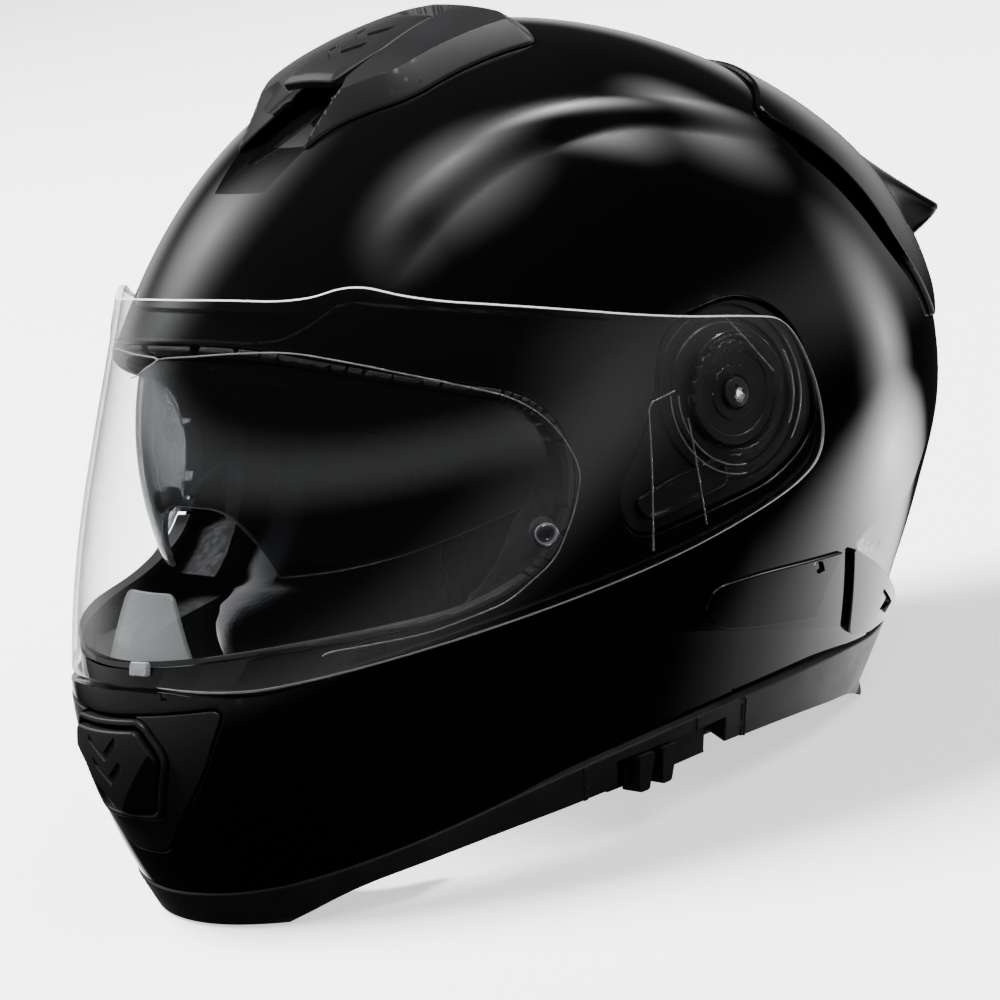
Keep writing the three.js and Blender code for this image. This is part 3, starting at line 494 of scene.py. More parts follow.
# ---------------------------------------------------------------- simple solids
def lathe(name, profile, origin, axis, body, replaces, material, sides=72, squares=None):
    """Solid of revolution: profile is (radius, height) from one end on the axis to the other."""
    axis = np.array(axis, float) / np.linalg.norm(axis)
    helper = np.array([0, 0, 1.0]) if abs(axis[2]) < 0.9 else np.array([0, 1.0, 0])
    e1 = np.cross(helper, axis)
    e1 /= np.linalg.norm(e1)
    e2 = np.cross(axis, e1)
    angles = np.arange(sides) / sides * 2 * PI
    points, rings = [], []
    for r, h in profile:
        if r < 1e-6:
            rings.append([len(points)] * sides)
            points.append(np.array(origin) + h * axis)
        else:
            rings.append(list(range(len(points), len(points) + sides)))
            radius = r if squares is None else r * squares(angles, h)
            ring = (np.cos(angles) * radius)[:, None] * e1 + (np.sin(angles) * radius)[:, None] * e2
            points.extend(np.array(origin) + h * axis + ring)
    faces = []
    for low, high in zip(rings, rings[1:]):
        for k in range(sides):
            q = [low[k], low[(k + 1) % sides], high[(k + 1) % sides], high[k]]
            face = [v for i, v in enumerate(q) if v not in q[:i]]
            if len(face) > 2:
                faces.append(face)
    mesh = bpy.data.meshes.new(name)
    mesh.from_pydata([tuple(p) for p in row(points)], [], faces)
    finish_mesh(mesh, 35)
    return new_object(name, mesh, body, replaces, material)


def finish_mesh(mesh, sharp_deg):
    """Faces outward, smooth, and sharp only past an angle."""
    bm = bmesh.new()
    bm.from_mesh(mesh)
    bmesh.ops.recalc_face_normals(bm, faces=bm.faces)
    bm.to_mesh(mesh)
    bm.free()
    mesh.polygons.foreach_set("use_smooth", np.ones(len(mesh.polygons), bool))
    mesh.set_sharp_from_angle(angle=math.radians(sharp_deg))


def tube_mesh(paths, radius, sides=8, closed=False):
    """Round bars along polylines (mm), in one mesh."""
    points, faces = [], []
    for path in paths:
        path = np.asarray(path, float)
        n = len(path)
        ahead_of = np.roll(path, -1, 0) if closed else np.vstack([path[1:], 2 * path[-1] - path[-2]])
        before = np.roll(path, 1, 0) if closed else np.vstack([2 * path[0] - path[1], path[:-1]])
        tangent = unit(ahead_of - before)
        helper = np.where((np.abs(tangent[:, 2]) < 0.9)[:, None], np.array([[0, 0, 1.0]]),
                          np.array([[0, 1.0, 0]]))
        e1 = unit(np.cross(helper, tangent))
        e2 = np.cross(tangent, e1)
        base = len(points)
        for k in range(n):
            for a in np.arange(sides) / sides * 2 * PI:
                points.append(path[k] + radius * (math.cos(a) * e1[k] + math.sin(a) * e2[k]))
        for k in range(n if closed else n - 1):
            for a in range(sides):
                b = (a + 1) % sides
                m = (k + 1) % n
                faces.append([base + k * sides + a, base + k * sides + b, base + m * sides + b,
                              base + m * sides + a])
        if not closed:
            faces.append([base + a for a in range(sides)])
            faces.append([base + (n - 1) * sides + a for a in range(sides)])
    mesh = bpy.data.meshes.new("bars")
    mesh.from_pydata([tuple(p) for p in row(points)], [], faces)
    finish_mesh(mesh, 60)
    return mesh


def bars(name, paths, radius, body, material, sides=8, closed=False, replaces=None):
    mesh = tube_mesh(paths, radius, sides, closed)
    mesh.name = name
    return new_object(name, mesh, body, replaces, material)


def along(points, step=1.5, closed=False):
    """The same polyline with points no further apart than a step."""
    points = np.asarray(points, float)
    out = []
    nexts = np.roll(points, -1, 0) if closed else points[1:]
    for a, b in zip(points, nexts):
        n = max(int(np.linalg.norm(b - a) / step), 1)
        out += [a + (b - a) * k / n for k in range(n)]
    if not closed:
        out.append(points[-1])
    return np.array(out)


# ---------------------------------------------------------------- materials
def blank(name):
    material = bpy.data.materials.new(name)
    material.use_nodes = True
    nodes, links = material.node_tree.nodes, material.node_tree.links
    shader = nodes["Principled BSDF"]
    coords = nodes.new("ShaderNodeTexCoord")
    return material, nodes, links, shader, coords


def noise(nodes, links, coords, scale, detail=2.0, roughness=0.5):
    n = nodes.new("ShaderNodeTexNoise")
    n.inputs["Scale"].default_value = scale
    n.inputs["Detail"].default_value = detail
    n.inputs["Roughness"].default_value = roughness
    links.new(coords.outputs["Object"], n.inputs["Vector"])
    return n


def spread(nodes, links, source, low, high):
    """A noise value between 0.3 and 0.7, spread over low to high."""
    m = nodes.new("ShaderNodeMapRange")
    m.inputs["From Min"].default_value = 0.3
    m.inputs["From Max"].default_value = 0.7
    m.inputs["To Min"].default_value = low
    m.inputs["To Max"].default_value = high
    links.new(source, m.inputs["Value"])
    return m.outputs["Result"]


def tint(nodes, links, source, dark, light, low=0.3, high=0.7):
    """Colour between dark and light by a noise value."""
    ramp = nodes.new("ShaderNodeValToRGB")
    ramp.color_ramp.elements[0].position = low
    ramp.color_ramp.elements[0].color = (*dark, 1)
    ramp.color_ramp.elements[1].position = high
    ramp.color_ramp.elements[1].color = (*light, 1)
    links.new(source, ramp.inputs["Fac"])
    return ramp.outputs["Color"]


def bump(nodes, links, shader, source, strength, distance):
    b = nodes.new("ShaderNodeBump")
    b.inputs["Strength"].default_value = strength
    b.inputs["Distance"].default_value = distance
    links.new(source, b.inputs["Height"])
    links.new(b.outputs["Normal"], shader.inputs["Normal"])
    return b


def lacquer():
    """Black paint under clear lacquer, with faint orange peel and hand smears."""
    material, nodes, links, shader, coords = blank("gloss_lacquer")
    color = (0.0009, 0.0009, 0.001)
    shader.inputs["IOR"].default_value = 1.33
    base = noise(nodes, links, coords, 9, 3)
    links.new(tint(nodes, links, base.outputs["Fac"], color, tuple(c * 1.5 for c in color)),
              shader.inputs["Base Color"])
    smear = noise(nodes, links, coords, 38, 4, 0.6)
    links.new(spread(nodes, links, smear.outputs["Fac"], 0.045, 0.085), shader.inputs["Roughness"])
    peel = noise(nodes, links, coords, 420, 1)
    bump(nodes, links, shader, peel.outputs["Fac"], 0.05, 0.00004)
    return material


def plastic(name, color, rough, grain=1800, strength=0.25, spec=0.5):
    material, nodes, links, shader, coords = blank(name)
    shader.inputs["Specular IOR Level"].default_value = spec
    base = noise(nodes, links, coords, 30, 4)
    links.new(tint(nodes, links, base.outputs["Fac"], tuple(c * 0.8 for c in color),
                   tuple(c * 1.25 for c in color)),
              shader.inputs["Base Color"])
    fine = noise(nodes, links, coords, grain, 3, 0.65)
    links.new(spread(nodes, links, fine.outputs["Fac"], rough * 0.85, rough * 1.2),
              shader.inputs["Roughness"])
    bump(nodes, links, shader, fine.outputs["Fac"], strength, 0.00006)
    return material


def rubber():
    material, nodes, links, shader, coords = blank("moulded_rubber")
    color = (0.011, 0.011, 0.0115)
    shader.inputs["Specular IOR Level"].default_value = 0.35
    dust = noise(nodes, links, coords, 60, 6, 0.65)
    links.new(tint(nodes, links, dust.outputs["Fac"], color, tuple(c * 1.8 for c in color)),
              shader.inputs["Base Color"])
    links.new(spread(nodes, links, dust.outputs["Fac"], 0.5, 0.68), shader.inputs["Roughness"])
    fine = noise(nodes, links, coords, 1500, 3, 0.7)
    bump(nodes, links, shader, fine.outputs["Fac"], 0.3, 0.00008)
    return material


def film(name, through, rough, gloss=1.0, haze_and_sheen=0.0, haze_and_sheen_color=(0.8, 0.82, 0.84), ior=1.5):
    """A thin clear or smoked sheet: light passes, and each face mirrors a little; an optional lit whitish
    haze layer gives the frosted sheet its frosting and paints a highlight on the clear edges and lines.
    """
    material, nodes, links, _, coords = blank(name)
    out = nodes["Material Output"]
    clear = nodes.new("ShaderNodeBsdfTransparent")
    clear.inputs["Color"].default_value = (*through, 1)
    mirror = nodes.new("ShaderNodeBsdfGlossy")
    mirror.inputs["Color"].default_value = (gloss, gloss, gloss, 1)
    smear = noise(nodes, links, coords, 40, 4, 0.6)
    links.new(spread(nodes, links, smear.outputs["Fac"], rough * 0.6, rough * 1.6),
              mirror.inputs["Roughness"])
    # the same mirroring from both sides of the sheet: straight + (1 - straight) * facing ^ 5
    straight = ((ior - 1) / (ior + 1)) ** 2
    facing = nodes.new("ShaderNodeLayerWeight")
    facing.inputs["Blend"].default_value = 0.5
    fifth = nodes.new("ShaderNodeMath")
    fifth.operation = "POWER"
    fifth.inputs[1].default_value = 5.0
    links.new(facing.outputs["Facing"], fifth.inputs[0])
    share = nodes.new("ShaderNodeMath")
    share.operation = "MULTIPLY_ADD"
    share.inputs[1].default_value = 1 - straight
    share.inputs[2].default_value = straight
    links.new(fifth.outputs["Value"], share.inputs[0])
    mix = nodes.new("ShaderNodeMixShader")
    links.new(share.outputs["Value"], mix.inputs["Fac"])
    links.new(clear.outputs["BSDF"], mix.inputs[1])
    links.new(mirror.outputs["BSDF"], mix.inputs[2])
    last = mix
    # the mixed-in lit whitish layer is real frosting on the frosted sheet and a painted highlight on the
    # clear edges and lines
    if haze_and_sheen:
        nodes["Principled BSDF"].inputs["Base Color"].default_value = (*haze_and_sheen_color, 1)
        nodes["Principled BSDF"].inputs["Roughness"].default_value = 0.35
        haze_and_sheen_mix = nodes.new("ShaderNodeMixShader")
        haze_and_sheen_mix.inputs["Fac"].default_value = haze_and_sheen
        links.new(mix.outputs["Shader"], haze_and_sheen_mix.inputs[1])
        links.new(nodes["Principled BSDF"].outputs["BSDF"], haze_and_sheen_mix.inputs[2])
        last = haze_and_sheen_mix
    else:
        nodes.remove(nodes["Principled BSDF"])
    links.new(last.outputs["Shader"], out.inputs["Surface"])
    return material


def steel():
    material, nodes, links, shader, coords = blank("brushed_steel")
    shader.inputs["Metallic"].default_value = 1.0
    stretch = nodes.new("ShaderNodeMapping")
    stretch.inputs["Scale"].default_value = (60, 2500, 2500)
    links.new(coords.outputs["Object"], stretch.inputs["Vector"])
    lines = nodes.new("ShaderNodeTexNoise")
    lines.inputs["Scale"].default_value = 1.0
    links.new(stretch.outputs["Vector"], lines.inputs["Vector"])
    links.new(tint(nodes, links, lines.outputs["Fac"], (0.42, 0.42, 0.43), (0.62, 0.62, 0.63)),
              shader.inputs["Base Color"])
    links.new(spread(nodes, links, lines.outputs["Fac"], 0.22, 0.4), shader.inputs["Roughness"])
    return material


def foam():
    """Expanded beads: round cells with dark joints."""
    material, nodes, links, shader, coords = blank("impact_foam")
    beads = nodes.new("ShaderNodeTexVoronoi")
    beads.inputs["Scale"].default_value = 330
    links.new(coords.outputs["Object"], beads.inputs["Vector"])
    links.new(tint(nodes, links, beads.outputs["Distance"], (0.022, 0.022, 0.023), (0.008, 0.008, 0.008),
                   0.1, 0.8),
              shader.inputs["Base Color"])
    shader.inputs["Roughness"].default_value = 0.75
    turn = nodes.new("ShaderNodeMath")
    turn.operation = "SUBTRACT"
    turn.inputs[0].default_value = 1.0
    links.new(beads.outputs["Distance"], turn.inputs[1])
    bump(nodes, links, shader, turn.outputs["Value"], 0.6, 0.0004)
    return material


def cloth(name, color):
    """Knitted lining: a fine grid of loops, slightly mottled."""
    material, nodes, links, shader, coords = blank(name)
    shader.inputs["Sheen Weight"].default_value = 0.35
    shader.inputs["Sheen Roughness"].default_value = 0.5
    loops = nodes.new("ShaderNodeTexVoronoi")
    loops.inputs["Scale"].default_value = 900
    loops.inputs["Randomness"].default_value = 0.25
    links.new(coords.outputs["Object"], loops.inputs["Vector"])
    blotch = noise(nodes, links, coords, 45, 3)
    mixed = nodes.new("ShaderNodeMath")
    mixed.operation = "MULTIPLY_ADD"
    mixed.inputs[1].default_value = 0.6
    links.new(loops.outputs["Distance"], mixed.inputs[0])
    links.new(blotch.outputs["Fac"], mixed.inputs[2])
    links.new(tint(nodes, links, mixed.outputs["Value"], tuple(c * 0.6 for c in color),
                   tuple(c * 1.5 for c in color), 0.3, 1.0),
              shader.inputs["Base Color"])
    shader.inputs["Roughness"].default_value = 0.88
    bump(nodes, links, shader, loops.outputs["Distance"], 0.5, 0.0003)
    return material


def webbing():
    material, nodes, links, shader, coords = blank("webbing")
    ribs = nodes.new("ShaderNodeTexWave")
    ribs.bands_direction = "Y"
    ribs.inputs["Scale"].default_value = 230
    ribs.inputs["Distortion"].default_value = 0.4
    links.new(coords.outputs["Object"], ribs.inputs["Vector"])
    threads = noise(nodes, links, coords, 1400, 2)
    links.new(tint(nodes, links, threads.outputs["Fac"], (0.008, 0.008, 0.009), (0.022, 0.022, 0.024)),
              shader.inputs["Base Color"])
    shader.inputs["Roughness"].default_value = 0.8
    bump(nodes, links, shader, ribs.outputs["Fac"], 0.5, 0.0003)
    return material


def holes_mesh():
    material, nodes, links, shader, coords = blank("wire_mesh")
    cells = nodes.new("ShaderNodeTexVoronoi")
    cells.inputs["Scale"].default_value = 520
    cells.inputs["Randomness"].default_value = 0.1
    links.new(coords.outputs["Object"], cells.inputs["Vector"])
    # painted shade: the dark cell centres are the openings, dark as the shaded space behind the mesh; the
    # lighter cell walls are the wire
    links.new(tint(nodes, links, cells.outputs["Distance"], (0.01, 0.01, 0.01), (0.3, 0.31, 0.33), 0.25,
                   0.5), shader.inputs["Base Color"])
    shader.inputs["Roughness"].default_value = 0.45
    bump(nodes, links, shader, cells.outputs["Distance"], 0.7, 0.0003)
    return material


GLOSS = lacquer()
SATIN = plastic("satin_plastic", (0.0075, 0.0075, 0.008), 0.34, 1600, 0.12, 0.35)
MATT = plastic("matt_plastic", (0.012, 0.012, 0.0125), 0.62, 1200, 0.4, 0.35)
PLATE = plastic("moulded_plate", (0.006, 0.0062, 0.0066), 0.38, 150, 0.03, 0.22)
SCREW = plastic("blackened_steel", (0.02, 0.02, 0.021), 0.38, 900, 0.05, 0.25)
RUBBER = rubber()
CLEAR = film("clear_sheet", (0.965, 0.97, 0.972), 0.012, ior=1.3)
# painted highlight: the clear shield's edges and rim get a lit whitish haze for their bright edge lines
CLEAR_EDGE_PAINTED_HIGHLIGHT = film("clear_edge_painted_highlight", (0.6, 0.61, 0.63), 0.1, 1.0, 0.6, (0.86, 0.88, 0.92))
# painted highlight: the drawn shield lines and the lock tab get a lit whitish haze over their own clear
# reflection
CLEAR_LINE_PAINTED_HIGHLIGHT = film("clear_line_painted_highlight", (0.62, 0.62, 0.64), 0.12, 1.0, 0.18, (0.62, 0.64, 0.66))
CLEAR_PIN = film("clear_pin", (0.7, 0.7, 0.72), 0.08, 1.0, 0.03, (0.7, 0.72, 0.74))
SMOKE = film("smoked_sheet", (0.47, 0.475, 0.485), 0.02)
SMOKE_EDGE = film("smoked_edge", (0.3, 0.3, 0.31), 0.1, 1.0, 0.3, (0.2, 0.21, 0.22))
FROST = film("frosted_sheet", (0.75, 0.76, 0.76), 0.2, 1.0, 0.13, (0.55, 0.57, 0.57))
STEEL = steel()
FOAM = foam()
CLOTH = cloth("lining_cloth", (0.018, 0.018, 0.0195))
WEBBING = webbing()
WIRE = holes_mesh()

# ---------------------------------------------------------------- outlines of the helmet's parts
FAR = 240
CROWN = 60      # the top vent's outlines are cut only above this height
EYE_PORT = region("side", [
    (-FAR, -41), (-160, -41, 10), (-104, -43, 16), (-76, -34, 16), (-61, -6, 16),
    (-66, 20, 14), (-99, 35, 20), (-133, 57, 10), (-FAR, 57)])
SHIELD = region("side", [
    (-FAR, -46), (-187, -46), (-170, -52.5, 10), (-117, -48.5, 30), (-30, -44, 30), (15, -38, 18),
    (32, -30, 14),
    (35, -6, 20), (29, 17, 12), (12, 23, 12), (-21, 32.5, 30), (-64, 49, 30), (-88, 58, 12), (-100, 67, 6),
    (-112, 64, 8), (-126, 69, 8), (-150, 73), (-FAR, 73)])
BELOW_EDGE = region("side", [
    (-FAR, -175), (FAR, -175), (FAR, -110), (72, -110, 30), (30, -104, 30), (-30, -102, 40),
    (-90, -105, 30), (-140, -115, 30), (-172, -121, 10), (-FAR, -121)])
POCKET = region("side", [
    (-20, 29, 14), (16, 31, 14), (34.5, 14, 14), (34.5, -20, 14), (12, -33, 14), (-50, -36, 10),
    (-53, -20, 10), (-30, 6, 12)])
LAND = region("side", [(-FAR, -30), (-112, -30), (-112, -49), (-168, -54, 8), (-187, -47.5), (-FAR, -47.5)])
CHIN_PANEL = region("front", [(-48, -56, 5), (-37, -78, 8), (-12, -105, 6), (12, -105, 6), (37, -78, 8),
                              (48, -56, 5)])
CHIN_VENT = region("front", [(-19, -57, 4), (-27, -70, 5), (-17, -92, 5), (17, -92, 5), (27, -70, 5),
                             (19, -57, 4)])
COVER = region("side", [
    (36, -68, 2), (-3, -62, 8), (-24, -60, 6), (-30, -67, 5), (-24, -75, 5), (-12, -79, 5), (20, -87, 2),
    (27, -76, 2)])
CORNER = region("side", [(40, -68, 2), (56, -80, 6), (86, -107, 2), (50, -104, 6), (38, -99, 3)])
EXHAUST = region("front", [(-26, 22, 4), (-30, 8, 4), (30, 8, 4), (26, 22, 4)])
VENT_PLAN = region("plan", [
    (-20, -74, 2), (-26, -62, 4), (-44, -42, 8), (-52, 8, 4), (-38, 15, 4), (38, 15, 4), (52, 8, 4),
    (44, -42, 8), (26, -62, 4), (20, -74, 2), (14, -52, 3), (-14, -52, 3)])
VENT_BAY = region("plan", [(-19.6, -58), (19.6, -58), (19.6, -28, 3), (15, 4, 3), (-15, 4, 3),
                           (-19.6, -28, 3)])
VENT_THROAT = region("plan", [(-12, -60), (12, -60), (12, -18), (-12, -18)])
VENT_HOLE = region("plan", [(-15, -40, 3), (15, -40, 3), (13, -14, 3), (-13, -14, 3)])
VENT_CAP = region("plan", [(-15, -50, 2), (15, -50, 2), (19, -30, 4), (14, -4, 3), (-14, -4, 3),
                           (-19, -30, 4)])
REAR_VIEW = region("front", [
    (0, 92), (56, 89, 12), (90, 80, 8), (96, 50, 30), (101, 20, 10), (94, -10, 1), (80, 0, 10), (66, 9, 8),
    (44, 15, 8), (-44, 15, 8), (-66, 9, 8), (-80, 0, 10), (-94, -10, 1), (-101, 20, 10), (-96, 50, 30),
    (-90, 80, 8), (-56, 89, 12)])


def smooth(x, low, high):
    t = np.clip((x - low) / (high - low), 0, 1)
    return t * t * (3 - 2 * t)


# ---------------------------------------------------------------- outer shell
ARC_Y = np.array([-125, -89, -79, -69, -45, -20, 8, 38, 63, 80, 120, 150])
ARC_Z = np.array([40, 70, 79, 84, 93, 98, 96, 86, 76, 66, 50, 40])
ARC = np.polyfit(ARC_Y / 100, ARC_Z, 6)


def arc_line(p, n):
    """Height above the brow's arc line, seen from the side."""
    y = p[:, 1] / 100
    slope = np.polyval(np.polyder(ARC), y) / 100
    return (p[:, 2] - np.polyval(ARC, y)) / np.sqrt(1 + slope ** 2)


def channel_side(p, n):
    wide = 15.5 + (p[:, 2] - 96) * 0.5
    return np.where(p[:, 1] < -30, wide - np.abs(p[:, 0]), -9.0)


def channel_floor(p, n):
    return np.where(p[:, 1] < -30, p[:, 2] - 95.5, -9.0)


def channel_crease(p, n):
    return channel_side(p, n) * 0.7 - channel_floor(p, n) * 0.3


REAR_FACET = region("side", [
    (44, -68), (56, -64, 10), (78, -65, 10), (92, -54, 12), (105, -44), (150, -6), (FAR, -6), (FAR, -150),
    (70, -150)])
LOW_FACET = region("side", [
    (-150, -130), (-112, -92, 20), (-96, -72, 10), (-82, -64, 10), (-64, -63, 14), (-29, -74, 20),
    (20, -91, 20), (72, -108), (90, -150), (-150, -150)])


ARC_DROP, FOLD_DROP, LOW_DROP, CHANNEL_DROP = 1.7, 3.2, 2.2, 5


def shell_relief(p, n, s):
    """Sunk land under the shield's edge, step at the brow's arc, channel, rear fold and low facet."""
    strip = LAND(p, n)
    h = np.minimum(0, under_shield(p, n, -2.2)) * np.clip(strip / 0.8, 0, 1)
    d = arc_line(p, n)
    fade = smooth(p[:, 1], -100, -70) * (1 - smooth(p[:, 1], 90, 125))
    h = h - ARC_DROP * fade * (1 - smooth(d, -7, 5)) * smooth(d, -70, -5)
    h = h - np.clip(np.minimum(channel_side(p, n) * 0.7, channel_floor(p, n) * 0.3), 0, CHANNEL_DROP)
    fold = 1 - smooth(p[:, 2], -66, -30)
    h = h - FOLD_DROP * fold * (1 - np.exp(-np.clip(REAR_FACET(p, n), 0, 200) / 22))
    low = smooth(p[:, 1], -110, -80) * (1 - smooth(p[:, 1], 20, 60))
    h = h - LOW_DROP * low * (1 - np.exp(-np.clip(LOW_FACET(p, n), 0, 40) / 9))
    return h


SHELL_MASK = both(
    outside(EYE_PORT), outside(BELOW_EDGE), outside(both(CHIN_PANEL, ahead(-100)), 0.4), outside(POCKET),
    outside(both(VENT_HOLE, above(CROWN))), outside(both(EXHAUST, behind(50))))
patch("shell", shell, SHELL_U, SHELL_V, SHELL_MASK, shell_relief, -4, "helmet", "outer_shell", GLOSS,
      bevel=0.7, wrap=True,
      creases=[(LAND, (0.0, 0.8)), (channel_side, (0.0,)), (channel_floor, (0.0,)),
               (channel_crease, (0.0,)), (REAR_FACET, (0.0,)), (LOW_FACET, (0.0,))])

# ---------------------------------------------------------------- rubber trim and seal
TRIM_ARCH = region("side", [
    (-166, -175), (-166, -135), (-150, -125, 12), (-112, -119, 20), (-40, -116, 30), (10, -119, 30),
    (50, -127, 10), (66, -135), (66, -175)])
LEVER_SLOT = both(region("side", [(-66, -140), (-22, -140), (-22, -108), (-66, -108)]), left(60))


def trim_ribs(p, n):
    """Distance into the nearest of the small ribs across the trim, on the wearer's left and right."""
    across = np.maximum.reduce([0.9 - np.abs(p[:, 1] - y) for y in (-78, -14, -34)])
    return across + np.where(np.abs(p[:, 0]) > 40, 0.0, -9.0)


def trim_step(p, n):
    return p[:, 1] + 14


def trim_height(p, n, s):
    """Rubber trim with a step and small ribs."""
    ribs = np.clip(trim_ribs(p, n) / 0.3, 0, 1)
    return 0.7 + 0.5 * np.clip(trim_step(p, n) / 0.5, 0, 1) + 0.5 * ribs


patch("rim_trim", shell, SHELL_U, np.linspace(-0.2, 0.22, 60),
      both(shrunk(BELOW_EDGE, 0.4), outside(TRIM_ARCH), above(0.7 - ROW[2]), outside(LEVER_SLOT)),
      trim_height, -10, "helmet", "lower_trim", RUBBER, bevel=0.6, wrap=True,
      creases=[(trim_ribs, (0.0, 0.3)), (trim_step, (0.0, 0.5))])
patch("port_seal", shell, np.linspace(-2.2, 2.2, 260), np.linspace(0.2, 0.85, 120),
      both(shrunk(EYE_PORT, 0.4), outside(shrunk(EYE_PORT, 2.4))),
      lambda p, n, s: np.minimum(1.4, under_shield(p, n, -0.6)), -5, "helmet", "eyeport_gasket", RUBBER,
      bevel=0.5)

# ---------------------------------------------------------------- face shield
LIP = region("side", [
    (-FAR, 60), (-150, 60), (-133, 57, 6), (-122, 52, 6), (-113, 56, 6), (-104, 62, 8), (-96, 58, 6),
    (-80, 52, 10), (-64, 46, 10), (-40, 37), (-40, 90), (-FAR, 90)])
PIN_Y, PIN_Z = -80, -23
pin_x = float(shield_x(np.array([PIN_Y]), np.array([PIN_Z]))[0])
PIN_BODY = beyond_radius(2.9, (PIN_Y, PIN_Z))


def shield_top(p, n, s):
    """The shield's face, sunk a little under its upper lip."""
    return 2.2 - 0.5 * (1 - smooth(LIP(p, n), -0.5, 0.5))


# the shield's edges and rolled rim take the edge material, whose whitish haze is a painted highlight
patch("clear_shield", shield_surface, np.linspace(0, 2 * PI, 300),
      np.linspace(-PI / 2, PI / 2, 220), both(SHIELD, PIN_BODY), shield_top, 0, "shield", "face_shield",
      CLEAR, bevel=0.7, edge=CLEAR_EDGE_PAINTED_HIGHLIGHT, wrap=True, creases=[(LIP, (-0.5, 0.5))])


def shield_path(corners, offset, side):
    """Line drawn on the shield's sheet, from its side view."""
    flat = along(corners, 1.2)
    x = shield_x(flat[:, 0], flat[:, 1], offset) * side
    return np.column_stack([x, flat])


def arm_arc(radius, start, stop, offset, side):
    angles = np.radians(np.linspace(start, stop, 40))
    y, z = radius * np.cos(angles), radius * np.sin(angles)
    return np.column_stack([shield_x(y, z, offset) * side, y, z])


# Clear beads along the anti-fog recess, the hooks and the arm's arcs: their reflection is real, their whitish
# haze is a painted highlight on these edges.
SHIELD_LINES = []
for side in (1, -1):
    recess = [(-150, 47), (-133, 52), (-121, 50), (-99, 36), (-76, 22), (-69, 14), (-65, 5), (-63, -7),
              (-69, -19), (-79, -32), (-97, -41), (-121, -44), (-150, -43)]
    curve = outline([(*c, 5) for c in recess] + [(-150, -60), (-150, 60)])
    curve = curve[(curve[:, 1] < 53) & (curve[:, 1] > -44.5) & (curve[:, 0] > -149)]
    SHIELD_LINES.append(shield_path(curve, 0.2, side))
    SHIELD_LINES.append(shield_path([(-35, 5), (-33, 7), (-24, 8)], 0.0, side))
    SHIELD_LINES.append(shield_path([(-35, 5), (-46, -40)], 0.0, side))
    SHIELD_LINES.append(shield_path([(-22, -2), (-23, -20), (-24, -38)], 0.0, side))
    SHIELD_LINES.append(shield_path([(2, 26), (17, 2)], 0.0, side))
    SHIELD_LINES.append(arm_arc(24, 165, 262, 0.0, side))
    SHIELD_LINES.append(arm_arc(27, 165, 262, 0.0, side))
    SHIELD_LINES.append(arm_arc(28, -50, 25, 0.0, side))
    SHIELD_LINES.append(arm_arc(24.6, -42, 18, 0.0, side))
bars("shield_lines", SHIELD_LINES, 0.28, "shield", CLEAR_LINE_PAINTED_HIGHLIGHT, 6)

pin_n = unit(np.array([[pin_x / SHIELD_W ** 2, PIN_Y / 150.0 ** 2, PIN_Z / 165.0 ** 2]]))[0]
for side, label in ((1, "left"), (-1, "right")):
    centre = np.array([pin_x * side, PIN_Y, PIN_Z])
    way = pin_n * np.array([side, 1, 1])
    lathe(f"fog_pin_{label}", [(0, -3.8), (4.6, -3.8), (4.6, -1.9), (2.5, -1.7), (2.5, 2.6), (4.1, 2.7),
                               (4.2, 3.1), (3.8, 3.6),
                               (3.0, 3.7), (2.7, 3.3), (1.2, 3.3), (0.9, 2.9), (0, 2.9)],
          centre, way, "shield", f"antifog_pin_{label}", CLEAR_PIN, 48)
# the lock tab shares the lines' whitish haze, a painted highlight
patch("lock_tab", shield_surface, np.linspace(PI - 0.6, PI + 0.6, 160), np.linspace(0, 0.6, 90),
      both(region("front", [(10.4, -45, 1), (19, -45, 1), (19, -40.5, 1), (10.4, -40.5, 1)]), ahead(-100)),
      4.4, 2.6, "shield", "shield_lock_tab", CLEAR_LINE_PAINTED_HIGHLIGHT, bevel=0.5)

# ---------------------------------------------------------------- shield mechanism
PIVOT_X = 123.4


def plate_height(p, n, s):
    """Base plate with two raised rings round the disc's recess."""
    r = np.hypot(p[:, 1], p[:, 2])
    h = -1.6 - 0.9 * (1 - smooth(np.abs(r - 24.5), 0.6, 1.2)) - 0.8 * (1 - smooth(np.abs(r - 29), 0.4, 0.9))
    return np.where(r < 18.8, -3.3, h)


PLATE_EDGE = shrunk(POCKET, 0.6)
for side, label in ((1, "left"), (-1, "right")):
    angles = np.linspace(0.6, 2.4, 150)
    patch(f"hinge_plate_{label}", shell, angles, np.linspace(0.25, 0.75, 130), PLATE_EDGE, plate_height,
          -4.1, "helmet", f"base_plate_{label}", PLATE, bevel=0.6, mirror=side < 0,
          creases=[(beyond_radius(18.4), (0.0, 0.4)), (beyond_radius(24.5), (-1.2, -0.6, 0.6, 1.2)),
                   (beyond_radius(29), (-0.9, -0.4, 0.4, 0.9))])
    teeth = lambda a, h: np.where((a > 0.6) & (a < 3.1), 1 - 0.05 * (np.cos(a * 22) > 0.2), 1.0)
    disc = [(3, 0), (17.4, 0), (17.4, 2.2), (17.0, 2.6), (14.6, 2.6), (14.2, 2.2), (9.4, 2.2), (9.0, 2.7),
            (6.2, 2.7), (5.8, 2.3), (3, 2.3), (3, 0)]
    lathe(f"cam_{label}", disc, (PIVOT_X * side, 0, 0), (side, 0, 0), "shield", f"shield_cam_{label}",
          SATIN, 120, teeth)


def flat_face(origin, u_way, v_way):
    """Flat surface through a point; its two parameters are millimetres along the two ways."""
    u_way, v_way = np.array(u_way, float), np.array(v_way, float)
    n = np.cross(u_way, v_way)

    def surface(uv):
        return np.array(origin) + uv[:, :1] * u_way + uv[:, 1:] * v_way, np.repeat(n[None], len(uv), 0)
    return surface


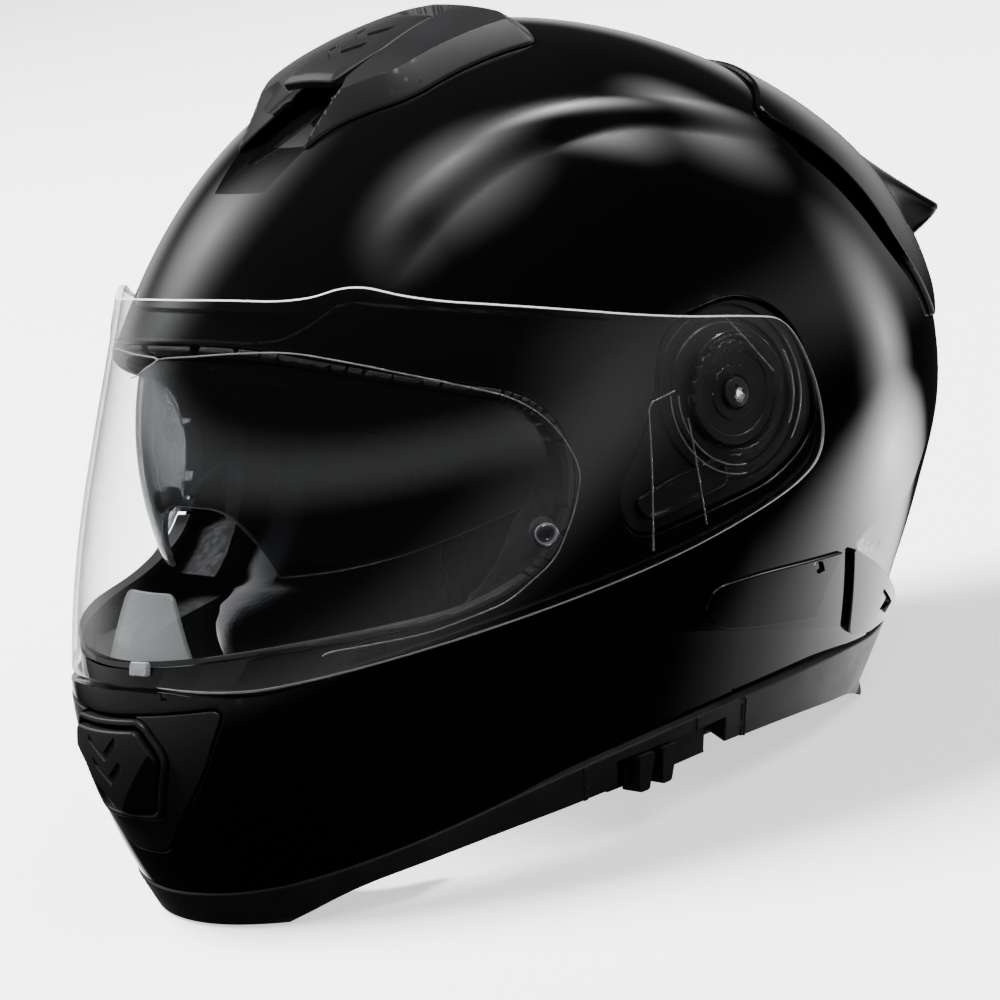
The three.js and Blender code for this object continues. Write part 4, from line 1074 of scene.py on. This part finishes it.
def cross_depth(p, n):
    """Distance into the screw's cross slot."""
    y, z = np.abs(p[:, 1]), np.abs(p[:, 2])
    return np.maximum(np.minimum(2.7 - y, 0.62 - z), np.minimum(0.62 - y, 2.7 - z))


def screw_height(p, n, s):
    """Low dome with a cross recess."""
    return 0.5 - 0.016 * (p[:, 1] ** 2 + p[:, 2] ** 2) - 1.1 * np.clip(cross_depth(p, n) / 0.35, 0, 1)


for side, label in ((1, "left"), (-1, "right")):
    patch(f"screw_{label}", flat_face((127.6, 0, 0), (0, 1, 0), (0, 0, 1)), np.linspace(-5.2, 5.2, 90),
          np.linspace(-5.2, 5.2, 90), lambda p, n: 5 - np.hypot(p[:, 1], p[:, 2]),
          screw_height, -1.0, "helmet", f"pivot_screw_{label}", SCREW, bevel=0.4, mirror=side < 0,
          creases=[(cross_depth, (0.0, 0.35))])
    lathe(f"shield_hub_{label}", [(18.8, 0), (20.9, 0), (20.9, 1.4), (20.4, 1.9), (19.3, 1.9), (18.8, 1.4),
                                  (18.8, 0)],
          (125.9 * side, 0, 0), (side, 0, 0), "shield", None, CLEAR, 120)
    patch(f"release_lever_{label}", shell, np.linspace(0.9, 2.4, 110), np.linspace(0.25, 0.6, 90),
          region("side", [(-11, -18.5, 4), (-11, -28, 4), (-44, -31, 4), (-47, -22.5, 3), (-30, -19, 4)]),
          lambda p, n, s: 1.3 - 0.5 * smooth(s, 1.2, 1.6), -0.9, f"release_lever_{label}",
          f"release_lever_{label}", PLATE, bevel=0.5, mirror=side < 0)
    lathe(f"visor_bush_{label}", [(0, 0), (5.5, 0), (5.5, 1.8), (2.6, 1.8), (2.6, 5.2), (5.5, 5.2),
                                  (5.5, 8.2), (5.0, 8.6), (0, 8.6)],
          (107.4 * side, SUN_C[0], SUN_C[1]), (side, 0, 0), "helmet", f"sun_visor_bush_{label}", SATIN,
          40)

# ---------------------------------------------------------------- sun visor
SUN_EDGE = region("side", [
    (-FAR, -26), (-118, -26, 20), (-62, -14, 14), (-22, -19, 10), (-11, -8, 10), (-22, 3, 10),
    (-70, 34, 10), (-86, 64, 10), (-FAR, 66)])
NOSE = both(region("front", [(-33, -60), (-33, -19, 8), (-19, -1, 12), (19, -1, 12), (33, -19, 8),
                             (33, -60)]), ahead(-60))
BUSH = beyond_radius(3, SUN_C)
patch("tinted_visor", sun_surface, np.linspace(0, 2 * PI, 300), np.linspace(-1.553, 1.553, 240),
      both(SUN_EDGE, outside(NOSE), BUSH), 2.0, 0, "sun_visor", "sun_visor", SMOKE,
      bevel=0.6, edge=SMOKE_EDGE, wrap=True)

# ---------------------------------------------------------------- vents
VENT_AREA = both(VENT_PLAN, outside(VENT_THROAT), above(CROWN))


def vent_height(p, n, s):
    """The housing rises inward from its edge, with a low bay for the slider."""
    rise = 0.9 + 0.85 * np.maximum(VENT_PLAN(p, n), 0)
    h = np.minimum(rise, 8.0)
    return np.where(VENT_BAY(p, n) > -0.15, 2.1, h)


CROWN_U = np.linspace(-PI, PI, 361)
patch("top_vent", shell, CROWN_U, np.linspace(0.62, 1, 130), VENT_AREA, vent_height, 0.4, "helmet",
      "top_vent_housing",
      SATIN, bevel=0.5, wrap=True, creases=[(VENT_BAY, (-0.3, 0.0)), (VENT_PLAN, (8.35,))])


CAP_MARKS = either(*[
    region("plan", [(-9, y + 8), (-9, y + 3), (0, y - 3), (9, y + 3), (9, y + 8),
                    (0, y + 2)]) for y in (-36, -24)])


def cap_height(p, n, s):
    """Slider cap with two sunk chevrons."""
    return 8.4 - 0.8 * (1 - smooth(s, 0, 3.5)) - 0.9 * np.clip(CAP_MARKS(p, n) / 0.35, 0, 1)


patch("vent_cap", shell, CROWN_U, np.linspace(0.66, 1, 130), both(VENT_CAP, above(CROWN)), cap_height, 4.6,
      "top_vent_slider", "top_vent_slider", SATIN, bevel=0.6, wrap=True,
      creases=[(CAP_MARKS, (0.0, 0.35))])
patch("vent_mesh", shell, np.linspace(-1.2, 1.2, 120), np.linspace(0.66, 0.98, 70),
      both(region("plan", [(-17, -44), (17, -44), (17, -30), (-17, -30)]), above(CROWN)), 3.8, 2.6,
      "helmet", "top_vent_mesh", WIRE, bevel=0.3)

CHIN_U, CHIN_V = np.linspace(-0.62, 0.62, 200), np.linspace(0.02, 0.42, 120)
patch("chin_cover", shell, CHIN_U, CHIN_V, both(CHIN_PANEL, outside(CHIN_VENT, 0.4), ahead(-100)), 0.4,
      -1.8, "helmet", "chin_panel", SATIN, bevel=0.5)
patch("chin_frame", shell, CHIN_U, CHIN_V, both(CHIN_VENT, outside(shrunk(CHIN_VENT, 1.9)), ahead(-100)),
      2.0, -1.8, "helmet", "chin_vent_frame", SATIN, bevel=0.6)
CHIN_MARKS = either(*[
    region("front", [(-8, z + 4), (0, z - 2), (8, z + 4), (8, z + 1), (0, z - 5),
                     (-8, z + 1)]) for z in (-66, -74)])


def button_ridge(p, n):
    """Distance beyond the ridges that run from the button's side corners to the middle of its foot."""
    return np.abs(p[:, 0]) * 0.70 - (p[:, 2] + 89) * 0.71


def button_height(p, n, s):
    """Faceted chin button with two sunk chevrons."""
    h = 3.8 - 0.42 * np.maximum(button_ridge(p, n), 0)
    return np.maximum(h - 0.9 * np.clip(CHIN_MARKS(p, n) / 0.35, 0, 1), 0.4)


patch("chin_button", shell, CHIN_U, CHIN_V, both(shrunk(CHIN_VENT, 3.5), ahead(-100)), button_height, -1.8,
      "chin_vent_button", "chin_vent_button", SATIN, bevel=0.7,
      creases=[(button_ridge, (0.0,)), (CHIN_MARKS, (0.0, 0.35))])
patch("breath_deflector", shield_surface, np.linspace(PI - 0.5, PI + 0.7, 140), np.linspace(-0.4, 0.4, 120),
      both(region("front", [(-30, -46, 2), (-15, -19, 4), (15, -19, 4), (30, -46, 2), (16, -45.8),
                            (-16, -45.8)]), ahead(-100)),
      -7.8, -9.4, "helmet", "breath_guard", FROST, bevel=0.5)

# ---------------------------------------------------------------- rear pieces
SPOILER_PROFILE = outline([(80, 88), (96, 83), (118, 64, 8), (166, 18, 1), (162, 3, 6), (140, -14)])


def walls(poly, axes):
    """Outward half-planes (normal, offset) of a convex outline drawn in one view."""
    middle = poly.mean(0)
    found = []
    for a, b in zip(poly, np.roll(poly, -1, 0)):
        way = np.zeros(3)
        way[axes[0]], way[axes[1]] = b[1] - a[1], a[0] - b[0]
        corner = np.zeros(3)
        corner[list(axes)] = a
        centre = np.zeros(3)
        centre[list(axes)] = middle
        if way @ (centre - corner) > 0:
            way = -way
        if np.linalg.norm(way) > 1e-9:
            way = way / np.linalg.norm(way)
            found.append((way, way @ corner))
    return found


SPOILER_WALLS = walls(SPOILER_PROFILE, AXES["side"])


def spoiler_height(p, n, s):
    """How far the wing stands out: to where the surface normal leaves the wing's profile."""
    leave, enter = np.full(len(p), 60.0), np.full(len(p), -60.0)
    for way, offset in SPOILER_WALLS:
        rate = n @ way
        reach = (offset - p @ way) / np.where(np.abs(rate) < 1e-6, 1e-6, rate)
        leave = np.where(rate > 0, np.minimum(leave, reach), leave)
        enter = np.where(rate <= 0, np.maximum(enter, reach), enter)
    tip = np.where(leave > enter, leave, 0) * (1 - smooth(np.abs(p[:, 0]), 48, 63))
    return np.maximum(tip, 2.2)


def wing_edge(p, n):
    """Negative below the trailing edge of the wing, along each surface point's own normal."""
    q = p + spoiler_height(p, n, None)[:, None] * n
    return q[:, 2] - 17.4


patch("rear_wing", shell, np.linspace(PI - 1.75, PI + 1.75, 260), np.linspace(0.32, 0.9, 170),
      both(REAR_VIEW, behind(50)), spoiler_height, 0.4, "helmet", "rear_spoiler", GLOSS,
      bevel=0.7, creases=[(wing_edge, (0.0,))])
SLOTS = lambda p, n: np.maximum.reduce([np.minimum(1.6 - np.abs(p[:, 0] - k * 5.6),
                                                   4 - np.abs(p[:, 2] - 15)) for k in range(-4, 5)])
patch("exhaust_grille", shell, np.linspace(PI - 0.35, PI + 0.35, 200), np.linspace(0.42, 0.62, 70),
      both(region("front", [(-25, 21, 3), (-29, 9, 3), (29, 9, 3), (25, 21, 3)]), behind(50),
           outside(SLOTS)), -0.8, -3.4,
      "helmet", "rear_exhaust_grille", MATT, bevel=0.3)
OUTLET = region("side", [(60, -90, 1), (72, -100, 1), (66, -102, 1), (58, -97, 1)])
NOTCH = region("side", [(20, -66.5, 1), (24, -67, 1), (25, -71, 1), (21, -71, 1)])
for side, label in ((1, "left"), (-1, "right")):
    patch(f"corner_{label}", shell, np.linspace(1.6, 2.9, 130), np.linspace(0.05, 0.4, 110), CORNER,
          lambda p, n, s: 2.2 - 1.4 * np.clip(OUTLET(p, n) / 0.4, 0, 1), -0.8, "helmet",
          f"rear_corner_{label}",
          GLOSS, bevel=0.6, mirror=side < 0, creases=[(OUTLET, (0.0, 0.4))])
    patch(f"side_cover_{label}", shell, np.linspace(1.3, 2.3, 130), np.linspace(0.1, 0.45, 110), COVER,
          lambda p, n, s: 1.6 - 1.3 * np.clip(NOTCH(p, n) / 0.4, 0, 1), -0.8, "helmet",
          f"comm_cover_{label}",
          GLOSS, bevel=0.6, mirror=side < 0, creases=[(NOTCH, (0.0, 0.4))])

# ---------------------------------------------------------------- pieces kept from the frame
for node, material in (
        ("eps_liner", FOAM), ("chin_eps", FOAM), ("chin_inner_grille", MATT), ("sun_visor_lever", MATT),
        ("lever_rail", MATT), ("strap_anchor_left", STEEL), ("strap_anchor_right", STEEL)):
    NODES[node].material_slots[0].material = material

# ---------------------------------------------------------------- soft lining
def world_mesh(thing):
    graph = bpy.context.evaluated_depsgraph_get()
    return bpy.data.meshes.new_from_object(thing.evaluated_get(graph))


def coordinates(mesh):
    co = np.empty(len(mesh.vertices) * 3)
    mesh.vertices.foreach_get("co", co)
    return co.reshape(-1, 3)


def vertex_normals(mesh):
    no = np.empty(len(mesh.vertices) * 3, np.float32)
    mesh.vertex_normals.foreach_get("vector", no)
    return no.reshape(-1, 3).astype(float)


def set_coordinates(mesh, co):
    mesh.vertices.foreach_set("co", co.astype(np.float32).ravel())
    mesh.update()


START, CAP, VOXEL = 2.2, 4.0, 5.0      # how far a pad starts inside its solid, may swell, and its mesh size


def cushion(name, node, material, seam):
    """Padded piece grown from a frame solid by cloth pressure, then sewn: seam(p) is the sink depth in mm."""
    mesh = NODES[node].data.copy()
    mesh.transform(NODES[node].matrix_world)
    mesh.materials.clear()
    thing = bpy.data.objects.new(name, mesh)
    bpy.context.scene.collection.objects.link(thing)
    remesh = thing.modifiers.new("remesh", "REMESH")
    remesh.mode = "VOXEL"
    remesh.voxel_size = VOXEL / 1000
    mesh = world_mesh(thing)
    thing.modifiers.clear()
    thing.data = mesh
    base = coordinates(mesh) - START / 1000 * vertex_normals(mesh)
    set_coordinates(mesh, base)
    swell = thing.modifiers.new("swell", "CLOTH")
    swell.settings.use_pressure = True
    swell.settings.uniform_pressure_force = 4
    swell.settings.effector_weights.gravity = 0
    swell.point_cache.frame_start = 1
    swell.point_cache.frame_end = 20
    for frame_number in range(1, 21):
        bpy.context.scene.frame_set(frame_number)
    swollen = world_mesh(thing)
    moved = coordinates(swollen) - base
    length = np.linalg.norm(moved, axis=1, keepdims=True)
    base = base + moved * np.minimum(1, CAP / 1000 / np.maximum(length, 1e-9))
    thing.modifiers.clear()
    set_coordinates(mesh, base)
    bpy.context.scene.frame_set(1)
    finer = thing.modifiers.new("finer", "SUBSURF")
    finer.levels = 1
    finer.render_levels = 1
    mesh = world_mesh(thing)
    thing.modifiers.clear()
    thing.data = mesh
    co = coordinates(mesh)
    set_coordinates(mesh, co - (seam(co * 1000 - ROW) / 1000)[:, None] * vertex_normals(mesh))
    mesh.polygons.foreach_set("use_smooth", np.ones(len(mesh.polygons), bool))
    mesh.materials.append(material)
    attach(thing, "helmet")
    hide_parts(node)
    return thing


def groove(distance, depth=2.0):
    """Depth of a sewn seam at a distance from its line."""
    return depth * np.exp(-(distance / 3) ** 2)


def crown_seams(p):
    side = np.abs(p[:, 0])
    depth = groove(side - 26 - 0.06 * np.abs(p[:, 1] + 18))
    return np.maximum(depth, groove(p[:, 2] - 34 - 0.15 * (p[:, 1] + 18)))


def cheek_seams(p):
    return np.maximum(groove(p[:, 2] + 58 + 0.25 * (p[:, 1] + 50)), groove(p[:, 1] + 30, 1.6))


cushion("crown_cushion", "crown_pad", CLOTH, crown_seams)
cushion("cheek_cushion_left", "cheek_pad_left", CLOTH, cheek_seams)
cushion("cheek_cushion_right", "cheek_pad_right", CLOTH, cheek_seams)
cushion("neck_cushion", "neck_roll", CLOTH, lambda p: groove(np.abs(p[:, 0]) - 40, 1.6))


# ---------------------------------------------------------------- chin strap
def smooth_path(corners):
    """Smooth line through its corners, ten points to a span."""
    pts = np.array([2 * np.array(corners[0], float) - corners[1], *corners,
                    2 * np.array(corners[-1], float) - corners[-2]], float)
    out = []
    for a, b, c, d in zip(pts, pts[1:], pts[2:], pts[3:]):
        for t in np.linspace(0, 1, 10, endpoint=False):
            out.append(0.5 * (2 * b + (c - a) * t + (2 * a - 5 * b + 4 * c - d) * t ** 2
                              + (3 * b - 3 * c + d - a) * t ** 3))
    return np.array(out + [pts[-2]])


def ribbon(points_xz, wide, thick, closed=False):
    """Webbing along a line in the XZ plane, with rounded edges; gives points and faces."""
    path = np.asarray(points_xz, float)
    if closed:
        tangent = unit(np.roll(path, -1, 0) - np.roll(path, 1, 0))
    else:
        tangent = unit(np.gradient(path, axis=0))
    normal = np.column_stack([-tangent[:, 1], tangent[:, 0]])
    ring = []
    for k in range(24):
        a = 2 * PI * k / 24
        across = np.sign(math.cos(a)) * abs(math.cos(a)) ** 0.2 * wide / 2
        up = np.sign(math.sin(a)) * abs(math.sin(a)) ** 0.6 * thick / 2
        ring.append((across, up))
    points, faces = [], []
    for place_xz, way in zip(path, normal):
        for across, up in ring:
            points.append((place_xz[0] + way[0] * up, across, place_xz[1] + way[1] * up))
    n, m = len(path), len(ring)
    for i in range(n if closed else n - 1):
        for k in range(m):
            j = (i + 1) % n
            faces.append([i * m + k, i * m + (k + 1) % m, j * m + (k + 1) % m, j * m + k])
    if not closed:
        faces += [list(range(m)), [(n - 1) * m + k for k in range(m)]]
    length = np.linalg.norm(np.diff(path, axis=0), axis=1).sum()
    return points, faces, length


def strap(name, node, side, end, loop):
    """Half of the chin strap, hung from its anchor; the left one ends in a loop for the rings."""
    path = smooth_path([(95.5, -84), (94, -104), (84, -119), (60, -124.6), end])
    points, faces, length = ribbon(path, 25, 1.6)
    if loop:
        eye = outline([(10.6, -130.4, 3.4), (21.4, -130.4, 3.4), (21.4, -123.6, 3.4), (10.6, -123.6, 3.4)])
        eye_points, eye_faces, eye_length = ribbon(along(eye, 1.5, True), 25, 1.5, True)
        faces += [[v + len(points) for v in face] for face in eye_faces]
        points += eye_points
        length += eye_length
    points = [(x * side, y, z) for x, y, z in points]
    mesh = bpy.data.meshes.new(name)
    mesh.from_pydata([tuple(p) for p in row(points)], [], faces)
    finish_mesh(mesh, 50)
    thing = new_object(name, mesh, "helmet", node, WEBBING)


strap("strap_with_rings", "strap_left", 1, (22, -127), True)
strap("strap_free", "strap_right", -1, (30, -127), False)
RING_PATH = along(outline([(0, -14.8, 2), (0, 14.8, 2), (-12, 14.8, 10), (-19.7, 7.5, 8), (-19.7, -7.5, 8),
                           (-12, -14.8, 10)]), 2, True)
for label, bar_x, tilt in (("upper", 18.9, math.radians(40)), ("lower", 13, 0.0)):
    x = bar_x + RING_PATH[:, 0] * math.cos(tilt)
    z = -127 - RING_PATH[:, 0] * math.sin(tilt)
    bars(f"ring_{label}", [np.column_stack([x, RING_PATH[:, 1], z])], 1.3, f"d_ring_{label}", STEEL,
         14, True, f"d_ring_{label}")


# ---------------------------------------------------------------- chin curtain
def chin_curtain():
    """Wind skirt stretched across the front of the neck opening."""
    level = -125.5
    angles = np.linspace(-1.1, 1.1, 241)
    low, high = np.zeros(len(angles)), np.full(len(angles), 0.3)
    for _ in range(30):
        mid = (low + high) / 2
        above = shell_point(angles, mid)[:, 2] > level
        high = np.where(above, mid, high)
        low = np.where(above, low, mid)
    p, n = shell(np.column_stack([angles, low]))
    rim = p - 10.6 * n
    xs = np.linspace(-61, 61, 83)
    outer = np.interp(xs, rim[:, 0], rim[:, 1])
    plan = outline([(-FAR, -FAR), (FAR, -FAR), (FAR, -112), (62, -112, 20), (40, -140, 30),
                    (-40, -140, 30), (-62, -112, 20), (-FAR, -112)])
    edge = plan[(np.abs(plan[:, 0]) < 80) & (plan[:, 1] > -150)]
    edge = edge[np.argsort(edge[:, 0])]
    inner = np.maximum(np.interp(xs, edge[:, 0], edge[:, 1]), outer + 0.5)
    across = np.linspace(0, 1, 17)
    top, bottom = [], []
    for i, x in enumerate(xs):
        for f in across:
            y = outer[i] + (inner[i] - outer[i]) * f
            sag = 0.5 * math.sin(PI * f) * (1 - (x / 61) ** 2) - 0.15 * math.sin(x * 0.5) * f
            hem = 0.35 * (f > 0.9)
            top.append((x, y, level + 0.5 - sag + hem))
            bottom.append((x, y, level - 0.5 - sag - hem))
    rows, columns = len(xs), len(across)
    count = len(top)
    faces = []
    for i in range(rows - 1):
        for j in range(columns - 1):
            a = i * columns + j
            faces.append([a, a + columns, a + columns + 1, a + 1])
            faces.append([count + a, count + a + 1, count + a + columns + 1, count + a + columns])
    border = [i * columns for i in range(rows)] + [(rows - 1) * columns + j for j in range(1, columns)]
    border += [i * columns + columns - 1 for i in range(rows - 2, -1, -1)] + [j for j in range(columns - 2,
                                                                                               0, -1)]
    for a, b in zip(border, border[1:] + border[:1]):
        faces.append([a, b, b + count, a + count])
    mesh = bpy.data.meshes.new("chin_skirt")
    mesh.from_pydata([tuple(p) for p in row(top + bottom)], [], faces)
    finish_mesh(mesh, 50)
    thing = new_object("chin_skirt", mesh, "helmet", "chin_curtain", CLOTH)


chin_curtain()


# ---------------------------------------------------------------- floor and light
def plain(name, color, rough):
    material, _, _, shader, _ = blank(name)
    shader.inputs["Base Color"].default_value = (*color, 1)
    shader.inputs["Roughness"].default_value = rough
    return material


floor = bpy.data.meshes.new("floor")
floor.from_pydata([(-15, -15, 0), (15, -15, 0), (15, 15, 0), (-15, 15, 0)], [], [(0, 1, 2, 3)])
FLOOR = plain("pale_floor", (0.72, 0.72, 0.72), 0.9)
FLOOR.node_tree.nodes["Principled BSDF"].inputs["Specular IOR Level"].default_value = 0.0
FLOOR.node_tree.nodes["Principled BSDF"].inputs["Emission Color"].default_value = (1, 1, 1, 1)
FLOOR.node_tree.nodes["Principled BSDF"].inputs["Emission Strength"].default_value = 1.0
floor.materials.append(FLOOR)
floor_object = bpy.data.objects.new("floor", floor)
bpy.context.scene.collection.objects.link(floor_object)
floor_object.visible_glossy = False
floor_object.visible_diffuse = False


def studio_world():
    """What the gloss mirrors: a pale band round the horizon between a dim ceiling and a dark ground."""
    world = bpy.data.worlds.new("studio")
    world.use_nodes = True
    nodes, links = world.node_tree.nodes, world.node_tree.links
    coords = nodes.new("ShaderNodeTexCoord")
    parts = nodes.new("ShaderNodeSeparateXYZ")
    ramp = nodes.new("ShaderNodeValToRGB")
    ramp.color_ramp.interpolation = "EASE"
    half = nodes.new("ShaderNodeMath")
    half.operation = "MULTIPLY_ADD"
    half.inputs[1].default_value = 0.5
    half.inputs[2].default_value = 0.5
    ramp.color_ramp.elements[0].position = 0.40
    ramp.color_ramp.elements[0].color = (0.02, 0.02, 0.02, 1)
    ramp.color_ramp.elements[1].position = 0.65
    ramp.color_ramp.elements[1].color = (0.05, 0.05, 0.05, 1)
    band = ramp.color_ramp.elements.new(0.52)
    band.color = (0.8, 0.8, 0.81, 1)
    links.new(coords.outputs["Generated"], parts.inputs["Vector"])
    links.new(parts.outputs["Z"], half.inputs[0])
    links.new(half.outputs["Value"], ramp.inputs["Fac"])
    links.new(ramp.outputs["Color"], nodes["Background"].inputs["Color"])
    bpy.context.scene.world = world


studio_world()


def card(name, target, azimuth, elevation, distance, size, strength, flat=False):
    """Soft-edged light card that faces a point (mm, pivot frame) from a direction."""
    material = bpy.data.materials.new(name)
    material.use_nodes = True
    nodes, links = material.node_tree.nodes, material.node_tree.links
    nodes.remove(nodes["Principled BSDF"])
    coords = nodes.new("ShaderNodeTexCoord")
    ball = nodes.new("ShaderNodeTexGradient")
    ball.gradient_type = "QUADRATIC_SPHERE"
    links.new(coords.outputs["Object"], ball.inputs["Vector"])
    glow = nodes.new("ShaderNodeEmission")
    glow.inputs["Strength"].default_value = strength
    fade = nodes.new("ShaderNodeMixShader")
    links.new(ball.outputs["Fac"], fade.inputs["Fac"])
    links.new(nodes.new("ShaderNodeBsdfTransparent").outputs["BSDF"], fade.inputs[1])
    links.new(glow.outputs["Emission"], fade.inputs[2])
    links.new(fade.outputs["Shader"], nodes["Material Output"].inputs["Surface"])
    mesh = bpy.data.meshes.new(name)
    mesh.from_pydata([(-1, -1, 0), (1, -1, 0), (1, 1, 0), (-1, 1, 0)], [], [(0, 1, 2, 3)])
    mesh.materials.append(material)
    thing = bpy.data.objects.new(name, mesh)
    a, e = math.radians(azimuth), math.radians(elevation)
    away = Vector((math.sin(a) * math.cos(e), -math.cos(a) * math.cos(e), math.sin(e)))
    thing.location = Vector(row(target)) + away * distance
    thing.rotation_euler = (0, 0, math.radians(-13)) if flat else away.to_track_quat("Z", "Y").to_euler()
    thing.scale = (size[0] / 2, size[1] / 2, 1)
    thing.visible_camera = False
    thing.visible_shadow = False
    thing.visible_diffuse = False
    bpy.context.scene.collection.objects.link(thing)


def lamp(name, azimuth, elevation, distance, size, power):
    """Soft round lamp that no gloss mirrors."""
    a, e = math.radians(azimuth), math.radians(elevation)
    data = bpy.data.lights.new(name, "AREA")
    data.shape = "DISK"
    data.size = size
    data.energy = power
    thing = bpy.data.objects.new(name, data)
    away = Vector((math.sin(a) * math.cos(e), -math.cos(a) * math.cos(e), math.sin(e)))
    thing.location = Vector((0, 0, 0.14)) + away * distance
    thing.rotation_euler = away.to_track_quat("Z", "Y").to_euler()
    thing.visible_camera = False
    thing.visible_glossy = False
    bpy.context.scene.collection.objects.link(thing)


lamp("overhead", -62, 56, 4.0, 2.2, 1100)
lamp("side", 100, 50, 4.0, 2.6, 150)
card("front_card", (22, -104, 83), -85, 32, 1.6, (1.5, 1.6), 6)
card("arc_card", (86, -15, 97), 150, 62, 1.3, (0.6, 1.4), 42)
card("crown_card", (69, -50, 98), 75, 78, 1.5, (1.7, 1.5), 16)
card("rear_card", (93, 30, 89), 170, 36, 1.4, (1.0, 1.1), 11)
card("flank_card", (150, 270, -132), 0, 90, 0.001, (0.32, 0.66), 24, flat=True)
card("tail_card", (120, 30, -10), 168, -8, 1.2, (0.7, 1.3), 10)
card("chin_card", (-28, -176, -123), -117, -17, 1.2, (1.0, 0.9), 7)
